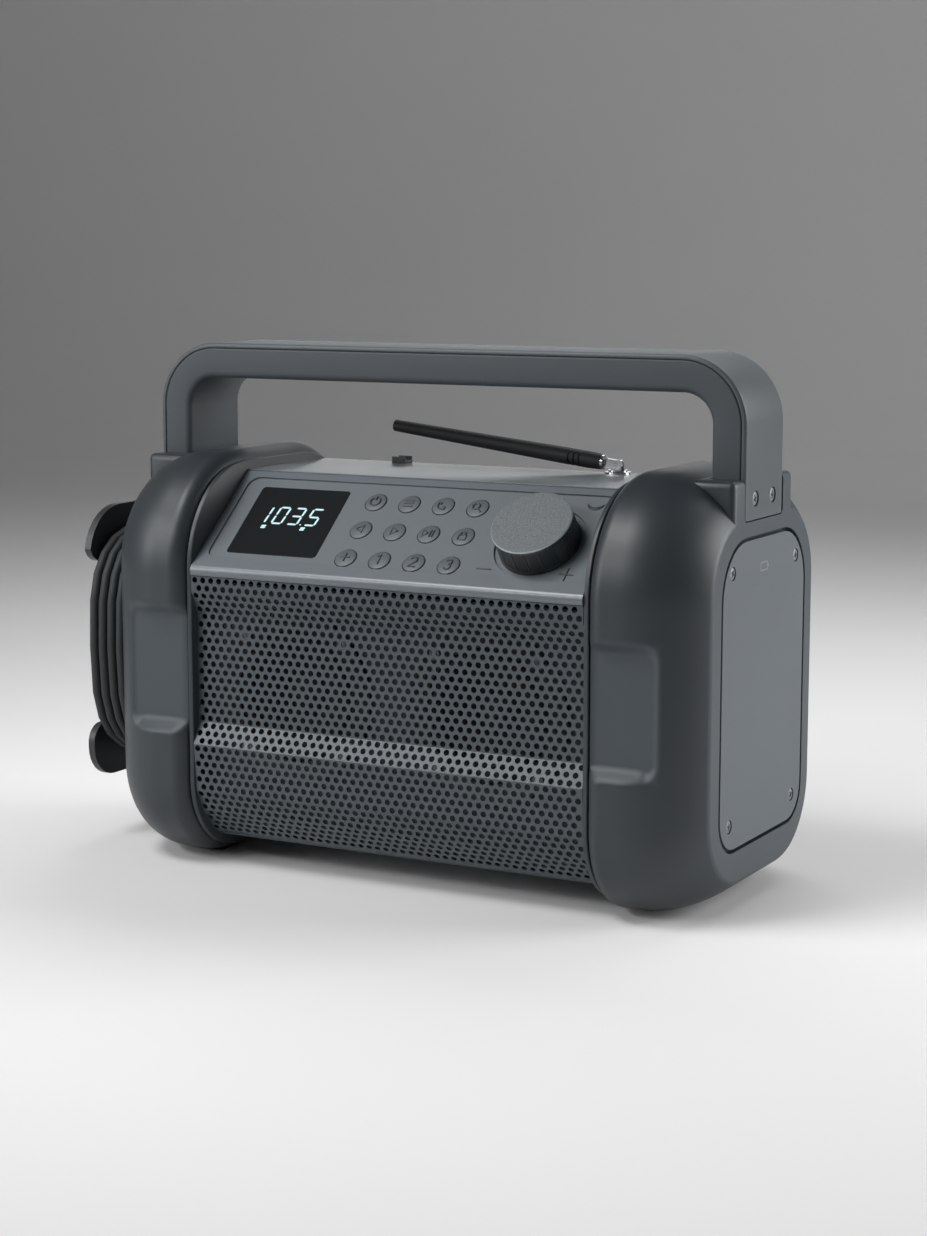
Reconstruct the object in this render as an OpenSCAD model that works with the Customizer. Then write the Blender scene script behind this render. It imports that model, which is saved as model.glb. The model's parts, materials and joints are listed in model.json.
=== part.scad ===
// Rugged table-top radio speaker: end caps, handle, grille, control panel, antenna and wound mains lead.
// X runs along the length, Y from front to rear, Z up; the floor is Z = 0.

/* [Body] */
// Length over both end caps
body_l = 330; // [310:1:350]
// Depth of the end caps, front to rear
body_d = 169; // [165:1:180]
// Height of the end caps above the floor
cap_top = 209; // [206:1:214]
// Height of the rubber feet
foot_h = 2; // [1:0.5:3]
// Seating gap between loose pieces
fit = 0.3; // [0.2:0.05:0.5]
// Hairline gap at moulded seams
seam = 0.15; // [0.1:0.05:0.3]
// Radial gap of a running shaft
run_gap = 0.05; // [0.03:0.01:0.08]

/* [End caps] */
// Length of an end cap without its raised ring
cap_l = 53; // [50:0.5:56]
// Upper corner radius of the cap outline
cap_top_r = 57; // [50:0.5:60]
// Lower corner radius of the cap outline
cap_low_r = 41; // [38:0.5:48]
// Radius of the curve towards the outer end
cap_end_r = 42; // [40:0.5:46]
// Turn of that curve where it meets the flat end
cap_turn = 60; // [56:0.5:62]
// Rounding of the flat end's edge
end_edge_r = 4; // [2:0.5:5]
// Shift of the flat end towards the rear
end_shift = 2.5; // [0:0.5:3]
// Rounding of the inner edge
cap_lip_r = 8; // [5:0.5:9]
// Wall of the cap
cap_wall = 3; // [2.5:0.1:4]
// Thickness of the flat end wall
cap_end_wall = 7; // [6:0.5:9]
// Inset of the raised ring on the inner face
ring_inset = 5; // [4.5:0.25:6]
// Thickness of the raised ring
ring_t = 3; // [2:0.5:4]
// Width of the front pocket
pocket_w = 35.5; // [28:0.5:37]
// Height of the front pocket
pocket_h = 67; // [50:1:75]
// Depth of the front pocket
pocket_depth = 6; // [3:0.5:8]
// Run of the pocket's upper and lower slopes
pocket_slope = 8; // [3:0.5:9]
// Run of the pocket's side slopes
pocket_side = 4; // [2:0.5:6]
// Middle height of the front pocket
pocket_z = 102.5; // [95:0.5:110]

/* [Handle] */
// Top of the handle above the floor
handle_top = 263.5; // [255:0.5:275]
// Depth of the strap, front to rear
handle_d = 47; // [40:0.5:52]
// Thickness of the strap
handle_t = 18; // [14:0.5:19]
// Thickness of the outer cover band
band_t = 2.6; // [2.4:0.1:4]
// Outer corner radius of the strap
handle_r = 33; // [28:0.5:40]
// Rounding of the strap's inner edges
handle_edge_r = 3.5; // [2:0.5:4]
// Rounding of the cover band's outer edges
band_edge_r = 1.6; // [1:0.1:1.8]
// Lower end of the strap's legs
leg_low = 186.5; // [184:0.5:190]
// Depth of the socket block on a cap
block_d = 73; // [66:0.5:78]
// Top of the socket block
block_top = 206; // [204:0.5:208]
// Wall of the socket block towards the middle
block_wall = 9; // [7:0.5:12]
// Height of the handle screws
handle_screw_z = 196.3; // [195:0.1:198]
// Distance between the two handle screws of a leg
handle_screw_pitch = 21.5; // [16:0.5:26]

/* [Cabinet] */
// Height of the deck
deck_z = 199.5; // [197:0.5:201]
// Height of the cabinet's underside
floor_z = 13.5; // [12:0.5:16]
// Rear face of the cabinet
rear_y = 76; // [73:0.5:77]
// Wall of the cabinet
wall = 3; // [2.5:0.1:4]
// Rounding of the cabinet's upper rear edge
rear_top_r = 30; // [20:1:34]
// Rounding of the cabinet's lower rear edge
rear_low_r = 24; // [16:1:30]
// Height of the seam between deck and rear cabinet
split_z = 160; // [150:1:164]
// Front face of the speaker baffle
baffle_y = -68; // [-69:0.25:-66]

/* [Grille] */
// Height of the grille's upper edge
grille_top = 150.2; // [149:0.1:150.4]
// Front of the grille's upper strip
grille_y = -79; // [-79.5:0.1:-78.5]
// Sheet thickness
sheet_t = 0.8; // [0.6:0.1:0.8]
// Hole diameter
hole_d = 3; // [2.4:0.1:3]
// Distance between holes in a row
hole_pitch = 4.8; // [4.6:0.1:6]
// Distance between rows
row_pitch = 4; // [3.9:0.05:4.1]

/* [Control panel] */
// Front lower edge of the panel, front to rear
panel_y = -79.1; // [-79.5:0.1:-78.5]
// Front lower edge of the panel above the floor
panel_z = 155.7; // [155:0.1:156.5]
// Slope of the panel
panel_tilt = 39.9; // [38:0.1:41]
// Length of the panel up the slope
panel_run = 67; // [66:0.5:68]
// Thickness of the panel
panel_t = 4; // [3.5:0.1:5]
// Radius of the rounded lower lip
nose_r = 4; // [3:0.25:4.5]
// Depth of the recessed field
field_depth = 1; // [0.5:0.1:1.5]
// Width of the display lens
lens_w = 52; // [44:0.5:54]
// Height of the display lens
lens_h = 46; // [36:0.5:48]
// Thickness of the display lens
lens_t = 1.5; // [1:0.1:2]
// Middle of the display along the panel
lens_x = -68; // [-70:0.5:-60]
// Middle of the display up the slope
lens_v = 34; // [32:0.5:36]
// Key diameter
key_d = 11.4; // [9:0.1:13]
// Height of a key above the field
key_rise = 0.9; // [0.5:0.1:1.5]
// Key travel
key_travel = 1; // [0.6:0.1:1.2]
// Distance between keys
key_pitch = 19.1; // [16:0.1:19.5]
// First column of keys along the panel
key_x = -24.8; // [-28:0.1:-22]
// First row of keys up the slope
key_v = 12.5; // [11:0.1:15]
// Knob diameter
knob_d = 40; // [34:0.5:42]
// Knob height above the panel
knob_h = 15; // [10:0.5:20]
// Knob axis along the panel
knob_x = 74; // [72:0.5:78]
// Knob axis up the slope
knob_v = 31; // [30:0.5:35]
// Diameter of the encoder shaft
shaft_d = 6; // [5:0.5:6]

/* [Speakers] */
// Distance between the two speaker axes
speaker_pitch = 108; // [100:1:116]
// Height of the speaker axes
speaker_z = 92; // [88:1:96]
// Diameter of a speaker frame
speaker_d = 86; // [70:1:90]
// Depth of a speaker basket behind the baffle
speaker_depth = 26; // [20:1:32]

/* [Antenna] */
// Antenna pivot along the body
antenna_x = 69; // [66:1:78]
// Antenna pivot, front to rear
antenna_y = 42; // [40:1:45]
// Height of the pivot above the deck
pivot_rise = 4.4; // [4.25:0.05:8]
// Length of the antenna from its pivot
antenna_l = 131; // [110:1:145]
// Antenna diameter at its root
whip_root_d = 7.6; // [6:0.1:8]
// Antenna diameter at its tip
whip_tip_d = 4.7; // [3.5:0.1:5]
// Tilt of the antenna as it stands
antenna_tilt = 6.6; // [4:0.1:10]

/* [Battery end] */
// Width of the battery cover
cover_w = 102; // [100:0.5:104]
// Shift of the cover towards the rear
cover_y = 3; // [0:0.5:4]
// Lower edge of the battery cover
cover_low = 32; // [31:0.5:34]
// Upper edge of the battery cover
cover_high = 177; // [172:0.5:178]
// Upper corner radius of the cover
cover_top_r = 27; // [20:0.5:30]
// Lower corner radius of the cover
cover_low_r = 17; // [12:0.5:20]
// Thickness of the cover
cover_t = 3; // [2:0.25:3.5]
// Gap round the cover
cover_gap = 1.2; // [0.6:0.1:1.6]
// Distance between cover screws, front to rear
cover_screw_w = 79.5; // [76:0.5:84]
// Height of the lower cover screws
cover_screw_low = 43.8; // [42:0.1:45]
// Height of the upper cover screws
cover_screw_high = 163.7; // [163:0.1:166]
// Cell diameter
cell_d = 33.6; // [30:0.1:33.8]
// Cell length
cell_l = 61; // [58:0.5:61]

/* [Cord winder] */
// Reach of the cord hooks past the end cap
hook_reach = 32; // [31.5:0.25:36]
// Thickness of a hook's flange
flange_t = 4; // [3:0.25:4]
// Height of a hook's flange
flange_h = 29; // [24:0.5:32]
// Height of a hook's post
post_h = 14; // [11:0.5:15]
// Diameter of the mains lead
lead_d = 5; // [4.6:0.1:5.1]
// Turns of the lead on the hooks
lead_turns = 4; // [2:1:4]
// Step from turn to turn
lead_pitch = 5.6; // [5.5:0.05:5.7]
// Half width of a turn
loop_half_w = 56; // [50:0.5:58]
// Half height of a turn
loop_half_h = 60; // [56:0.5:62]

/* [Hidden] */
// The middle of the part's box, with the hooks, stands at X = 0
body_x = hook_reach / 2;
half_l = body_l / 2;
half_d = body_d / 2;
cap_in = half_l - cap_l;
mid_half = cap_in - ring_t;
// How far pieces of one solid sink into each other, and how far a cutter runs past a face
ease = 0.01;
over = 1;
arc_steps = 8;
strap_steps = 3;
bore_fn = 48;
round_fn = 96;

// Shares of an inset that come off the lower corner radius and lift the lower edge of the cap outline
low_share = 0.2;
low_rise = 0.6;
// Corners of the cover outline as [y, z, radius, first angle]
cover_corners = [
  [cover_w / 2 - cover_low_r, cover_low + cover_low_r, cover_low_r, 270],
  [cover_w / 2 - cover_top_r, cover_high - cover_top_r, cover_top_r, 0],
  [cover_top_r - cover_w / 2, cover_high - cover_top_r, cover_top_r, 90],
  [cover_low_r - cover_w / 2, cover_low + cover_low_r, cover_low_r, 180]
];
lip_angles = [90, 60, 30, 0];
curve_steps = 6;
edge_steps = 2;
// Where the flat of a cap's outline ends and its outer curve starts
curve_x = half_l - cap_end_r * sin(cap_turn) - end_edge_r * (1 - sin(cap_turn));
end_inset = cap_end_r * (1 - cos(cap_turn)) + end_edge_r * cos(cap_turn);
ring_neck = 0.8;

// Handle
block_floor = 11.2;
block_in = half_l - handle_t - fit - block_wall;
block_low = leg_low - fit - block_floor;
block_r = 4;
pocket_edge = 1;
pocket_r = 6;
handle_angles = [for (i = [0:arc_steps]) 90 * i / arc_steps];
handle_screw_d = 3.4;
handle_head_d = 7;
handle_head_t = 1.4;
handle_screw_l = 22;
strap_seam_r = 0.8;

// Grille facets as [rows of holes, slope from the upright towards the rear]
facets = [[2, 0], [3, 24], [14, 0], [3, -24], [6, 4], [3, 25], [4, 40]];
border_l = 5;
border_slope = 60;
hole_margin = 0.5;

// Panel
panel_half = mid_half - seam;
rim_side = 5;
rim_low = 6;
rim_high = 4;
field_r = 6;
lens_ledge = 2;
lens_r = 2;
key_columns = 4;
key_rows = 3;
key_dome_r = 3 * key_d;
key_skirt = 1.2;
key_foot = 1;
board_t = 1.6;
switch_h = 2.5;
board_gap = key_foot + key_travel + switch_h;
board_side = 1;
board_low = 5;
board_run = panel_run - 12;
post_d = 6;
post_side = 8;
post_end = 10;
dish_gap = 3;
dish_depth = 1.2;
bushing_d = 9;
bushing_rise = 3;
encoder_w = 14;
knob_flutes = 18;
flute_r = 0.7;
flute_depth = 0.3;
hole_fn = 16;
cap_bevel = 0.5;
knob_foot = 2;
knob_chamfer = 1;
knob_wall = 3;
knob_top = 3;
cap_sink = 1;
cap_rim = 2;

// Speakers
speaker_flange = 7;
speaker_flange_t = 2;
magnet_d = 46;
magnet_h = 14;
speaker_screw_d = 3;
speaker_screw_l = 10;
pan_d = 5.6;
pan_t = 1.6;
basket_wall = 3;
basket_seat = 8;
basket_gap = 18;
pillar_d = 9;
pillar_x = 85;
pillar_low = 47;
pillar_high = 138;
cabinet_screw_d = 3.4;
cabinet_head_d = 7;
cabinet_screw_l = 24;
head_t = 2;
pillar_seat = 2;
baffle_drop = 4;
deck_gap = 0.6;
panel_end = panel_y + panel_run * cos(panel_tilt);
deck_lip = 9;

// Antenna
pivot_z = deck_z + pivot_rise;
base_d = 13;
base_t = 0.8;
swivel_d = 10;
stem_d = 4;
stem_l = 8;
tongue_t = 3;
ear_t = 2;
ear_r = 2.5;
pin_d = 2;
ferrule_from = 6.5;
ferrule_l = 5;
ferrule_edge = 1;
whip_grooves = 3;
whip_groove = 0.5;
whip_groove_w = 0.6;
whip_groove_edge = 0.4;
whip_groove_from = 8;
whip_groove_pitch = 3;
clip_l = 8;
clip_w = 8;
clip_rise = 3.4;

// Battery end
cell_pitch = cell_d + 1.2;
cell_z = (cover_screw_low + cover_screw_high) / 2 + 1;
holder_wall = 2;
bay_half_w = cell_pitch / 2 + cell_d / 2;
bay_half_h = cell_pitch + cell_d / 2;
holder_half_w = bay_half_w + holder_wall;
holder_half_h = bay_half_h + holder_wall;
holder_in = half_l - 70;
holder_end = 3;
contact_t = 0.6;
seal_t = 1;
seal_w = 2.5;
window_gap = 1.5;
cover_screw_d = 3;
cover_head_d = 6;
cover_head_t = 1.5;
seal_inset = 2;
nub_d = 9.5;
nub_h = 1.5;

// Cord winder
hook_mid = (cover_low + cover_high) / 2;
hook_power = 3;
loop_rings = 24;
lead_sides = 6;
lead_start = half_l + lead_d / 2 + 0.5;
post_gap = lead_d / 2 + fit;
hook_screw_y = 25;
hook_screw_d = 3;
hook_screw_in = 12;
post_w = 88;
gland_z = 131;
gland_from = -18;
gland_to = 14;
gland_l = gland_to - gland_from;
gland_r0 = 4.4;
gland_r1 = 3.2;
gland_stub_r = 3.4;
gland_collar = 8;
gland_ribs = 5;
gland_rib_l = 2.4;
gland_rib_pitch = 4;
gland_groove = 0.6;
gland_slant = 0.4;
plug_x = 178;
plug_z = 81.5;
plug_from = 18;
plug_l = 36;
plug_w = 34.4;
plug_t = 14;
plug_r = 3;
plug_neck_d = lead_d + 3;
plug_neck_l = 16;
plug_pin_d = 4;
plug_pin_l = 19;
plug_pin_pitch = 18.6;
// Lead from the gland to the first turn and from the last turn to the plug, as [reach past the middle, y, z]
lead_in = [[168, 14, 131], [168, 20, 131], [168, 27, 130.5], [168, 35, 129], [168, 43, 125],
  [168, 50, 118.5], [168, 54, 112]];
lead_out = [[190.4, 55, 97], [189.6, 51.5, 89.5], [187.5, 46, 84.5], [184, 40, 82], [180.5, 34, 81.5],
  [178.5, 29, 81.5], [178, 24, 81.5], [178, 18, 81.5]];

// Boards
board_stand = 8;
board_hole_x = 62;
board_hole_low = 62;
board_hole_high = 136;
main_w = 136;
main_h = 86;
main_low = 56;
tuner_w = 60;
tuner_h = 22;
tuner_t = 14;
tuner_x = -20;
tuner_low = 104;
chip_w = 14;
chip_t = 4;
chip_x = 20;
chip_low = 70;
can_l = 16;
can_d = 10;
can_x = -37;
can_pitch = 14;
can_z = 74;
supply_stand = 6;
supply_hole_y = 28;
supply_hole_low = 70;
supply_hole_high = 142;
supply_w = 68;
supply_h = 84;
supply_low = 64;
core_l = 26;
core_w = 34;
core_h = 30;
core_y = -3;
core_low = 92;
filter_l = 22;
filter_d = 14;
filter_y = 22;
filter_z = 112;
inlet_l = 12;
inlet_w = 30;
inlet_h = 16;
inlet_y = -13;
inlet_low = 68;

// Feet
foot_l = 12;
foot_w = 26;
foot_r = 4;

function arc(y, z, r, first, last, steps = arc_steps) =
  [for (i = [0:steps]) let (a = first + (last - first) * i / steps) [y + r * cos(a), z + r * sin(a)]];
function rounded(corners, inset) = [for (c = corners) each arc(c[0], c[1], c[2] - inset, c[3], c[3] + 90)];
function cap_outline(inset) =
  let (
    r = cap_low_r - low_share * inset,
    top = cap_top_r - inset,
    w = half_d - inset,
    low = foot_h + low_rise * inset
  )
  concat(
    arc(w - r, low + r, r, 270, 360),
    arc(w - top, cap_top - cap_top_r, top, 0, 90),
    arc(top - w, cap_top - cap_top_r, top, 90, 180),
    arc(r - w, low + r, r, 180, 270)
  );
function cap_ring(x, inset) = [for (p = cap_outline(inset)) [x, p[0], p[1]]];
function end_ring(x, inset) = [for (p = cap_outline(inset)) [x, p[0] + end_shift * inset / end_inset, p[1]]];
function power(v, n) = sign(v) * pow(abs(v), 2 / n);
function loop_point(a, half_w, half_h) =
  [half_w * power(cos(a), hook_power), hook_mid + half_h * power(sin(a), hook_power)];
function unit(v) = v / norm(v);

// Moves a piece from the body's own middle to the part's frame
module place() {
  translate([body_x, 0, 0]) children();
}

// Extrudes an outline drawn in Y and Z along X
module along_x(from, length) {
  translate([from, 0, 0]) rotate([90, 0, 90]) linear_extrude(length) children();
}

// Stands on the control panel: X along it, Y up the slope, Z outwards
module on_panel() {
  translate([0, panel_y, panel_z]) rotate([panel_tilt, 0, 0]) children();
}

module rod_x(from, length, d) {
  translate([from, 0, 0]) rotate([0, 90, 0]) cylinder(h = length, d = d, $fn = bore_fn);
}

module rounded_square(w, h, r, fn = bore_fn) {
  union() {
    square([w - 2 * r, h], center = true);
    square([w, h - 2 * r], center = true);
    for (x = [-1, 1], y = [-1, 1]) translate([x * (w / 2 - r), y * (h / 2 - r)]) circle(r, $fn = fn);
  }
}

// Solid through a list of closed rings with equal point counts
module loft(rings) {
  n = len(rings[0]);
  last = (len(rings) - 1) * n;
  polyhedron(
    points = [for (ring = rings) each ring],
    faces = concat(
      [[for (k = [0:n - 1]) k]],
      [for (j = [0:len(rings) - 2], k = [0:n - 1])
        let (a = j * n + k, b = j * n + (k + 1) % n) [a, a + n, b]],
      [for (j = [0:len(rings) - 2], k = [0:n - 1])
        let (a = j * n + k, b = j * n + (k + 1) % n) [a + n, b + n, b]],
      [[for (k = [n - 1:-1:0]) last + k]]
    )
  );
}

// End caps, drawn for the right end and mirrored for the left
module cap_outer() {
  loft(concat(
    [for (a = lip_angles) cap_ring(cap_in + cap_lip_r * (1 - sin(a)), cap_lip_r * (1 - cos(a)))],
    [for (i = [0:curve_steps]) let (a = cap_turn * i / curve_steps)
      end_ring(curve_x + cap_end_r * sin(a), cap_end_r * (1 - cos(a)))],
    [for (i = [1:edge_steps]) let (a = cap_turn + (90 - cap_turn) * i / edge_steps)
      end_ring(half_l - end_edge_r * (1 - sin(a)), end_inset - end_edge_r * cos(a))]
  ));
}

module cap_cavity() {
  lip = cap_lip_r - cap_wall;
  r = cap_end_r - cap_wall;
  turn = asin((half_l - cap_end_wall - curve_x) / r);
  loft(concat(
    [for (a = lip_angles) cap_ring(cap_in + cap_wall + lip * (1 - sin(a)), cap_wall + lip * (1 - cos(a)))],
    [for (i = [0:curve_steps]) let (a = turn * i / curve_steps)
      end_ring(curve_x + r * sin(a), cap_end_r - r * cos(a))]
  ));
}

module pocket_plate(y, side, slope) {
  translate([cap_in + pocket_edge + pocket_w / 2, y, pocket_z])
    rotate([90, 0, 0])
      linear_extrude(ease) rounded_square(pocket_w - 2 * side, pocket_h - 2 * slope, pocket_r);
}

module pocket_cut() {
  hull() {
    pocket_plate(pocket_depth - half_d, pocket_side, pocket_slope);
    pocket_plate(-half_d - ease, 0, 0);
  }
}

module pocket_backing() {
  translate([cap_in + ease, cap_wall / 2 - half_d, pocket_z - pocket_h / 2])
    cube([cap_lip_r + pocket_w, pocket_depth + cap_wall / 2, pocket_h]);
}

module handle_block() {
  side = block_d / 2;
  along_x(block_in, half_l - block_in) polygon(concat(
    [[-side, block_low], [side, block_low]],
    arc(side - block_r, block_top - block_r, block_r, 0, 90, strap_steps),
    arc(block_r - side, block_top - block_r, block_r, 90, 180, strap_steps)
  ));
}

module handle_socket() {
  translate([half_l - handle_t - fit, -handle_d / 2 - fit, leg_low - fit])
    cube([handle_t + 2 * fit, handle_d + 2 * fit, cap_top]);
}

module handle_screw_places() {
  for (y = [-1, 1]) translate([0, y * handle_screw_pitch / 2, handle_screw_z]) children();
}

module wire_window() {
  translate([mid_half - ease, -holder_half_w - window_gap, cell_z - holder_half_h - window_gap])
    cube([ring_t + cap_wall + 2 * ease, 2 * (holder_half_w + window_gap), 2 * (holder_half_h + window_gap)]);
}

module end_cap() {
  difference() {
    union() {
      difference() {
        cap_outer();
        cap_cavity();
      }
      intersection() {
        cap_outer();
        pocket_backing();
      }
      along_x(mid_half, ring_t - ring_neck) polygon(cap_outline(ring_inset));
      along_x(mid_half, ring_t) polygon(cap_outline(cap_lip_r));
      handle_block();
    }
    pocket_cut();
    handle_socket();
    wire_window();
    handle_screw_places() handle_screw_bore();
  }
}

module cover_screw_places() {
  for (y = [-1, 1], z = [cover_screw_low, cover_screw_high])
    translate([0, cover_y + y * cover_screw_w / 2, z]) children();
}

module cover_outline(inset) {
  translate([cover_y, 0]) polygon(rounded(cover_corners, inset));
}

module right_end_cap() {
  color([0.24, 0.26, 0.27]) place() difference() {
    end_cap();
    along_x(half_l - cover_t - seal_t / 2, cap_end_r) cover_outline(-cover_gap);
    translate([half_l - cap_end_wall - over, -bay_half_w, cell_z - bay_half_h])
      cube([cap_end_wall + over, 2 * bay_half_w, 2 * bay_half_h]);
    cover_screw_places() rod_x(half_l - cap_end_wall - over, cap_end_wall, cover_screw_d + 2 * run_gap);
  }
}

module left_end_cap() {
  color([0.24, 0.26, 0.27]) place() difference() {
    union() {
      mirror([1, 0, 0]) end_cap();
      supply_places() rod_x(cap_end_wall - half_l - ease, supply_stand + ease, post_d);
    }
    hook_screw_places() rod_x(-half_l - over, cap_end_wall + 2 * over, hook_screw_d + 2 * run_gap);
    translate([-lead_start, gland_from - fit, gland_z])
      rotate([-90, 0, 0])
        cylinder(h = gland_l + 2 * lead_d, r = gland_r0 + fit, $fn = bore_fn);
    translate([0, gland_from + gland_r0, gland_z])
      rod_x(-half_l - over, cap_end_wall + 2 * over, 2 * (gland_stub_r + fit));
  }
}

// Cabinet
module rear_cabinet() {
  color([0.22, 0.24, 0.25]) place() difference() {
    union() {
      along_x(-mid_half, 2 * mid_half) polygon(concat(
        [[border_end[0] + fit + sheet_t / 2, floor_z]],
        arc(rear_y - rear_low_r, floor_z + rear_low_r, rear_low_r, 270, 360),
        [[rear_y, split_z], [rear_y - wall, split_z]],
        arc(rear_y - rear_low_r, floor_z + rear_low_r, rear_low_r - wall, 360, 270),
        [[border_end[0] + fit + sheet_t / 2, floor_z + wall]]
      ));
      board_places() rotate([90, 0, 0]) cylinder(h = board_stand + wall / 2, d = post_d, $fn = bore_fn);
      pillar_places() translate([0, rear_y - wall / 2, 0])
        rotate([90, 0, 0]) cylinder(h = wall / 2 + pillar_seat, d = pillar_d, $fn = bore_fn);
    }
    pillar_places() translate([0, rear_y + over, 0]) rotate([90, 0, 0]) {
      cylinder(h = wall + pillar_seat + 2 * over, d = cabinet_screw_d + 2 * run_gap, $fn = bore_fn);
      cylinder(h = head_t + over, d = cabinet_head_d + 2 * fit, $fn = bore_fn);
    }
  }
}

module top_deck() {
  front = panel_end + deck_gap;
  color([0.28, 0.3, 0.31]) place() difference() {
    along_x(-mid_half, 2 * mid_half) polygon(concat(
      [[front, deck_z - deck_lip], [front + wall, deck_z - deck_lip], [front + wall, deck_z - wall]],
      arc(rear_y - rear_top_r, deck_z - rear_top_r, rear_top_r - wall, 90, 0),
      [[rear_y - wall, split_z], [rear_y, split_z]],
      arc(rear_y - rear_top_r, deck_z - rear_top_r, rear_top_r, 0, 90),
      [[front, deck_z]]
    ));
    translate([antenna_x, antenna_y, deck_z - wall - over])
      cylinder(h = wall + 2 * over, d = base_d / 2 + 2 * fit, $fn = bore_fn);
  }
}

module front_baffle() {
  bend = facet_point(len(facets) - 1)[1];
  color([0.13, 0.13, 0.14]) place() difference() {
    union() {
      along_x(-mid_half, 2 * mid_half) polygon([
        [baffle_y, grille_top - baffle_drop],
        [baffle_y, bend + wall],
        [border_end[0] - over, floor_z + wall],
        [border_end[0] + 2 * wall, floor_z + wall],
        [border_end[0] + 2 * wall, floor_z + 2 * wall],
        [baffle_y + wall, bend + 2 * wall],
        [baffle_y + wall, grille_top - baffle_drop]
      ]);
      pillar_places() translate([0, baffle_y + wall / 2, 0]) rotate([-90, 0, 0])
        cylinder(h = rear_y - wall - pillar_seat - baffle_y - wall / 2, d = pillar_d, $fn = bore_fn);
    }
    speaker_places() rotate([90, 0, 0])
      cylinder(h = 4 * wall, d = speaker_d - 2 * speaker_flange + 2 * fit, center = true, $fn = round_fn);
    speaker_screw_places() rotate([90, 0, 0])
      cylinder(h = 4 * wall, d = speaker_screw_d + 2 * run_gap, center = true, $fn = bore_fn);
    pillar_places() translate([0, rear_y, 0]) rotate([90, 0, 0])
      cylinder(h = cabinet_screw_l + over, d = cabinet_screw_d + 2 * run_gap, $fn = bore_fn);
  }
}

module pillar_places() {
  for (x = [-1, 1], z = [pillar_low, pillar_high]) translate([x * pillar_x, 0, z]) children();
}

module cabinet_screws() {
  color([0.2, 0.2, 0.21]) place() pillar_places() translate([0, rear_y, 0]) rotate([90, 0, 0]) {
    cylinder(h = head_t, d = cabinet_head_d, $fn = bore_fn);
    cylinder(h = cabinet_screw_l, d = cabinet_screw_d, $fn = bore_fn);
  }
}

// Grille: the sheet runs down through its facets, with whole rows of holes between the bends
function facet_step(i) = facets[i][0] * row_pitch * [sin(facets[i][1]), -cos(facets[i][1])];
function facet_point(i) = i == 0 ? [grille_y, grille_top] : facet_point(i - 1) + facet_step(i - 1);
function rows_before(i) = i == 0 ? 0 : rows_before(i - 1) + facets[i - 1][0];
slopes = concat([for (f = facets) f[1]], [border_slope]);
border_end = facet_point(len(facets)) + border_l * [sin(border_slope), -cos(border_slope)];
sheet_line = concat([for (i = [0:len(facets)]) facet_point(i)], [border_end]);
hole_columns = floor((2 * mid_half - 2 * hole_margin - hole_d) / hole_pitch + 0.5);

module at_bend(i) {
  translate([0, facet_point(i)[0], facet_point(i)[1]]) children();
}

// Offset of the sheet's faces at a bend, so the sheet keeps its thickness on both sides
function facet_normal(i) = let (s = slopes[max(0, min(i, len(slopes) - 1))]) [-cos(s), -sin(s)];
function bend_offset(i) =
  let (a = facet_normal(i - 1), b = facet_normal(i)) sheet_t / 2 * (a + b) / (1 + a * b);

module sheet_section() {
  polygon(concat(
    [for (i = [0:len(slopes)]) sheet_line[i] + bend_offset(i)],
    [for (i = [len(slopes):-1:0]) sheet_line[i] - bend_offset(i)]
  ));
}

module facet_holes(i) {
  at_bend(i) rotate([facets[i][1] - 90, 0, 0])
    for (r = [0:facets[i][0] - 1], c = [0:hole_columns - 1])
      let (shift = (rows_before(i) + r) % 2 / 2 - 0.25)
      translate([(c - (hole_columns - 1) / 2 + shift) * hole_pitch, (r + 0.5) * row_pitch, -sheet_t])
        cylinder(h = 2 * sheet_t, d = hole_d, $fn = hole_fn);
}

module speaker_grille() {
  color([0.3, 0.32, 0.33]) place() difference() {
    along_x(-mid_half, 2 * mid_half) sheet_section();
    for (i = [0:len(facets) - 1]) facet_holes(i);
  }
}

// Control panel
module key_places() {
  for (i = [0:key_columns * key_rows - 1]) key_place(i) children();
}

module key_place(i) {
  row = key_rows - 1 - floor(i / key_columns);
  translate([key_x + key_pitch * (i % key_columns), key_v + key_pitch * row, 0]) children();
}

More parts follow.
